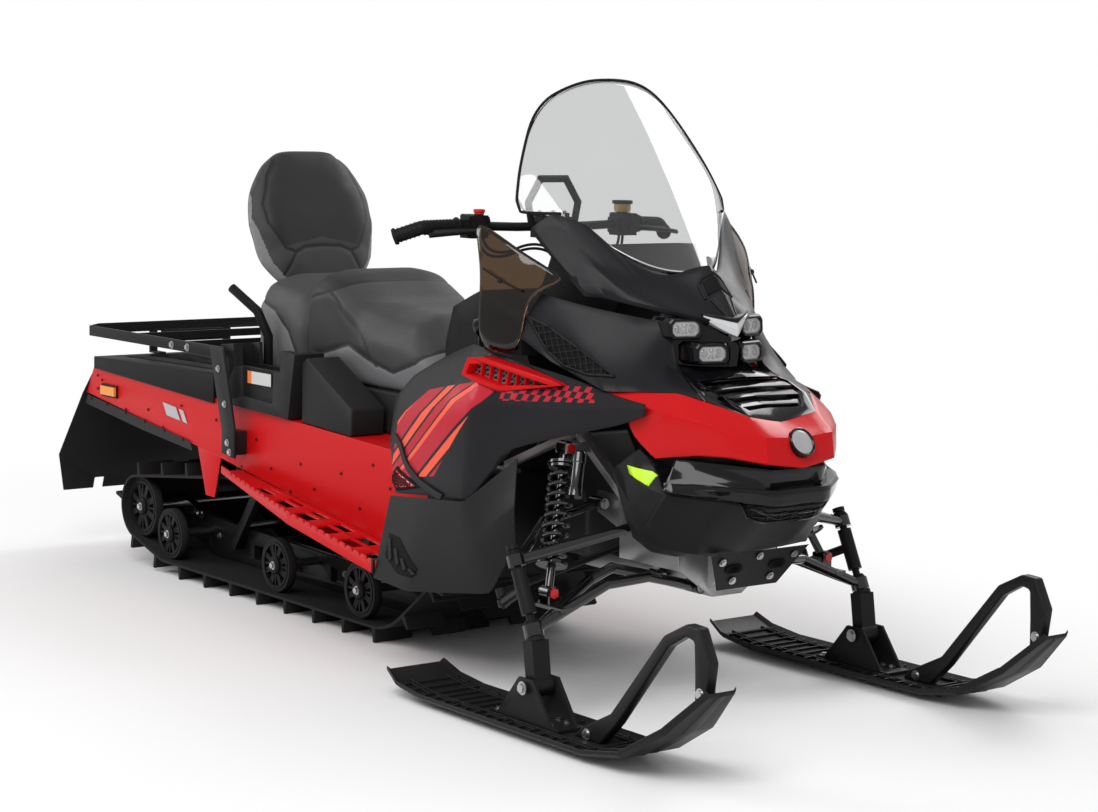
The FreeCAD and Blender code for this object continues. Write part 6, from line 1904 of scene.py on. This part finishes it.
def make_floor(studio):
    """Paper floor that turns white with the distance."""
    bm = bmesh.new()
    bmesh.ops.create_grid(bm, x_segments=2, y_segments=2, size=40)
    mesh = bpy.data.meshes.new("studio_floor")
    bm.to_mesh(mesh)
    bm.free()
    floor = bpy.data.objects.new("studio_floor", mesh)
    floor.location.z = -0.001
    bpy.context.scene.collection.objects.link(floor)
    paper = bpy.data.materials.new("studio_paper")
    paper.use_nodes = True
    tree = paper.node_tree
    shader = tree.nodes["Principled BSDF"]
    shader.inputs["Roughness"].default_value = 0.9
    shader.inputs["Specular IOR Level"].default_value = 0.1
    place = object_place(tree)
    fibres = add_node(tree, "ShaderNodeTexNoise", Vector=place, Scale=40.0, Detail=3.0)
    level = (*studio.floor_colour, 1)
    pale = (*(min(1.0, channel * 1.01) for channel in studio.floor_colour), 1)
    feed(tree, shader, "Base Color", blend_colours(tree, fibres.outputs["Fac"], level, pale))
    pull = add_node(tree, "ShaderNodeMapping", Vector=place, Scale=studio.floor_fade)
    away = add_node(tree, "ShaderNodeVectorMath", {"operation": "LENGTH"}, Vector=pull.outputs["Vector"])
    fade = add_node(tree, "ShaderNodeMapRange", {"interpolation_type": "SMOOTHSTEP"},
                    Value=away.outputs["Value"], From_Min=FADE_FROM, From_Max=FADE_TO)
    seen = seen_directly(tree)
    white = add_node(tree, "ShaderNodeEmission", Strength=1.0)
    mixed = tree.nodes.new("ShaderNodeMixShader")
    tree.links.new(maths(tree, "MULTIPLY", fade.outputs["Result"], seen), mixed.inputs["Fac"])
    tree.links.new(shader.outputs["BSDF"], mixed.inputs[1])
    tree.links.new(white.outputs["Emission"], mixed.inputs[2])
    tree.links.new(mixed.outputs["Shader"], tree.nodes["Material Output"].inputs["Surface"])
    mesh.materials.append(paper)


def make_world(scene, studio):
    """White background, and an even fill light."""
    world = bpy.data.worlds.new("studio_world")
    world.use_nodes = True
    tree = world.node_tree
    light = tree.nodes["Background"]
    light.inputs["Color"].default_value = (1, 1, 1, 1)
    light.inputs["Strength"].default_value = studio.fill_light
    paper = add_node(tree, "ShaderNodeBackground", Strength=1.0)
    paper.inputs["Color"].default_value = (1, 1, 1, 1)
    blend = tree.nodes.new("ShaderNodeMixShader")
    tree.links.new(seen_directly(tree), blend.inputs["Fac"])
    tree.links.new(light.outputs["Background"], blend.inputs[1])
    tree.links.new(paper.outputs["Background"], blend.inputs[2])
    tree.links.new(blend.outputs["Shader"], tree.nodes["World Output"].inputs["Surface"])
    scene.world = world


def make_camera(scene, studio):
    """The camera that was solved from the photograph."""
    camera = bpy.data.cameras.new("photo_camera")
    camera.sensor_width = 36
    camera.lens = studio.lens
    holder = bpy.data.objects.new("photo_camera", camera)
    yaw, pitch, roll = (math.radians(value) for value in (CAMERA_YAW, CAMERA_PITCH, CAMERA_ROLL))
    ahead = Vector((-math.sin(yaw) * math.cos(pitch), math.cos(yaw) * math.cos(pitch), -math.sin(pitch)))
    right = Vector((math.cos(yaw), math.sin(yaw), 0))
    up = right.cross(ahead)
    turned_right = right * math.cos(roll) + up * math.sin(roll)
    turned_up = up * math.cos(roll) - right * math.sin(roll)
    basis = Matrix((turned_right, turned_up, -ahead)).transposed().to_4x4()
    holder.matrix_world = Matrix.Translation(CAMERA_PLACE) @ basis
    scene.collection.objects.link(holder)
    scene.camera = holder


class SNOW_OT_studio(Operator):
    """Sets up the floor, the lights and the camera"""

    bl_idname = "snow.studio"
    bl_label = "Studio"

    def execute(self, context):
        scene = context.scene
        studio = scene.snow_studio
        scene.view_settings.view_transform = "Standard"
        make_floor(studio)
        make_world(scene, studio)
        for name, place, size, energy in (
            ("Key softbox", (2.6, -3.4, 4.2), 3.2, studio.key_light),
            ("Side softbox", (-3.6, -3.0, 2.6), 2.6, studio.side_light),
            ("Back softbox", (-0.5, 4.2, 3.6), 3.4, studio.back_light),
        ):
            lamp = bpy.data.lights.new(name, "AREA")
            lamp.shape = "DISK"
            lamp.size = size
            lamp.energy = energy
            holder = bpy.data.objects.new(name, lamp)
            holder.location = place
            aim = Vector((0, 0, 0.5)) - Vector(place)
            holder.rotation_euler = aim.to_track_quat("-Z", "Y").to_euler()
            scene.collection.objects.link(holder)
        make_camera(scene, studio)
        return {"FINISHED"}


# Settings, panel and registration


def colour_setting(name, description, default):
    """A colour among the settings."""
    return FloatVectorProperty(name=name, description=description, subtype="COLOR", default=default,
                               min=0, max=1)


class SnowLook(PropertyGroup):
    """Colours and sizes of the vehicle's finish."""

    paint_red: colour_setting("Paint red", "Red of the tunnel, boards and nose", (0.55, 0.005, 0.007))
    panel_colour: colour_setting("Panel black", "Satin black of the body panels", (0.012, 0.012, 0.014))
    stripe_red: colour_setting("Stripe crimson", "Darker stripes of the side panel", (0.45, 0.014, 0.03))
    stripe_coral: colour_setting("Stripe coral", "Lighter stripes of the side panel", (0.85, 0.1, 0.05))
    patch_green: colour_setting("Patch green", "Bright patches of the belly pan", (0.55, 0.95, 0.02))
    screen_tint: colour_setting("Windshield tint", "Tint of the windshield", (0.63, 0.635, 0.64))
    smoke_tint: colour_setting("Deflector tint", "Tint of the side deflectors", (0.075, 0.04, 0.017))
    pad_mesh: FloatProperty(name="Pad mesh", description="Mesh size of the stuffed seats", subtype="DISTANCE",
                            unit="LENGTH", default=0.008, min=0.004, max=0.02)


class SnowStudio(PropertyGroup):
    """Light, floor and lens of the studio."""

    key_light: FloatProperty(name="Key light", description="Power of the softbox in front", subtype="POWER",
                             unit="POWER", default=150, min=0)
    side_light: FloatProperty(name="Side light", description="Power of the softbox at the side",
                              subtype="POWER", unit="POWER", default=70, min=0)
    back_light: FloatProperty(name="Back light", description="Power of the softbox behind", subtype="POWER",
                              unit="POWER", default=110, min=0)
    fill_light: FloatProperty(name="Fill light", description="Strength of the surrounding light",
                              default=0.55, min=0)
    floor_colour: colour_setting("Floor", "Colour of the paper floor", (0.9, 0.9, 0.9))
    floor_fade: FloatVectorProperty(name="Floor fade", min=0, max=4, default=(0.55, 0.95, 0.0),
                                    description="Shares per metre at which the floor turns white")
    lens: FloatProperty(name="Lens", description="Focal length of the camera", subtype="DISTANCE_CAMERA",
                        unit="CAMERA", default=79.64, min=10, max=300)


OPERATORS = (
    SNOW_OT_finishes,
    SNOW_OT_panels,
    SNOW_OT_seats,
    SNOW_OT_screen,
    SNOW_OT_springs,
    SNOW_OT_lamps,
    SNOW_OT_front,
    SNOW_OT_sides,
    SNOW_OT_suspension,
    SNOW_OT_track,
    SNOW_OT_rear,
    SNOW_OT_handlebar,
    SNOW_OT_skis,
    SNOW_OT_studio,
)


class SNOW_PT_sidebar(Panel):
    """Lists the vehicle's and the studio's settings, and a button for each step"""

    bl_label = "Snowmobile"
    bl_space_type = "VIEW_3D"
    bl_region_type = "UI"
    bl_category = "Snowmobile"

    def draw(self, context):
        for settings in (context.scene.snow_look, context.scene.snow_studio):
            box = self.layout.box()
            for name in settings.__annotations__:
                box.prop(settings, name)
        for operator in OPERATORS:
            self.layout.operator(operator.bl_idname)


CLASSES = (SnowLook, SnowStudio) + OPERATORS + (SNOW_PT_sidebar,)


def register():
    for cls in CLASSES:
        bpy.utils.register_class(cls)
    bpy.types.Scene.snow_look = PointerProperty(type=SnowLook)
    bpy.types.Scene.snow_studio = PointerProperty(type=SnowStudio)


def unregister():
    del bpy.types.Scene.snow_studio
    del bpy.types.Scene.snow_look
    for cls in reversed(CLASSES):
        bpy.utils.unregister_class(cls)


def main():
    register()
    for operator in OPERATORS:
        group, name = operator.bl_idname.split(".")
        getattr(getattr(bpy.ops, group), name)()


if __name__ == "__main__":
    main()
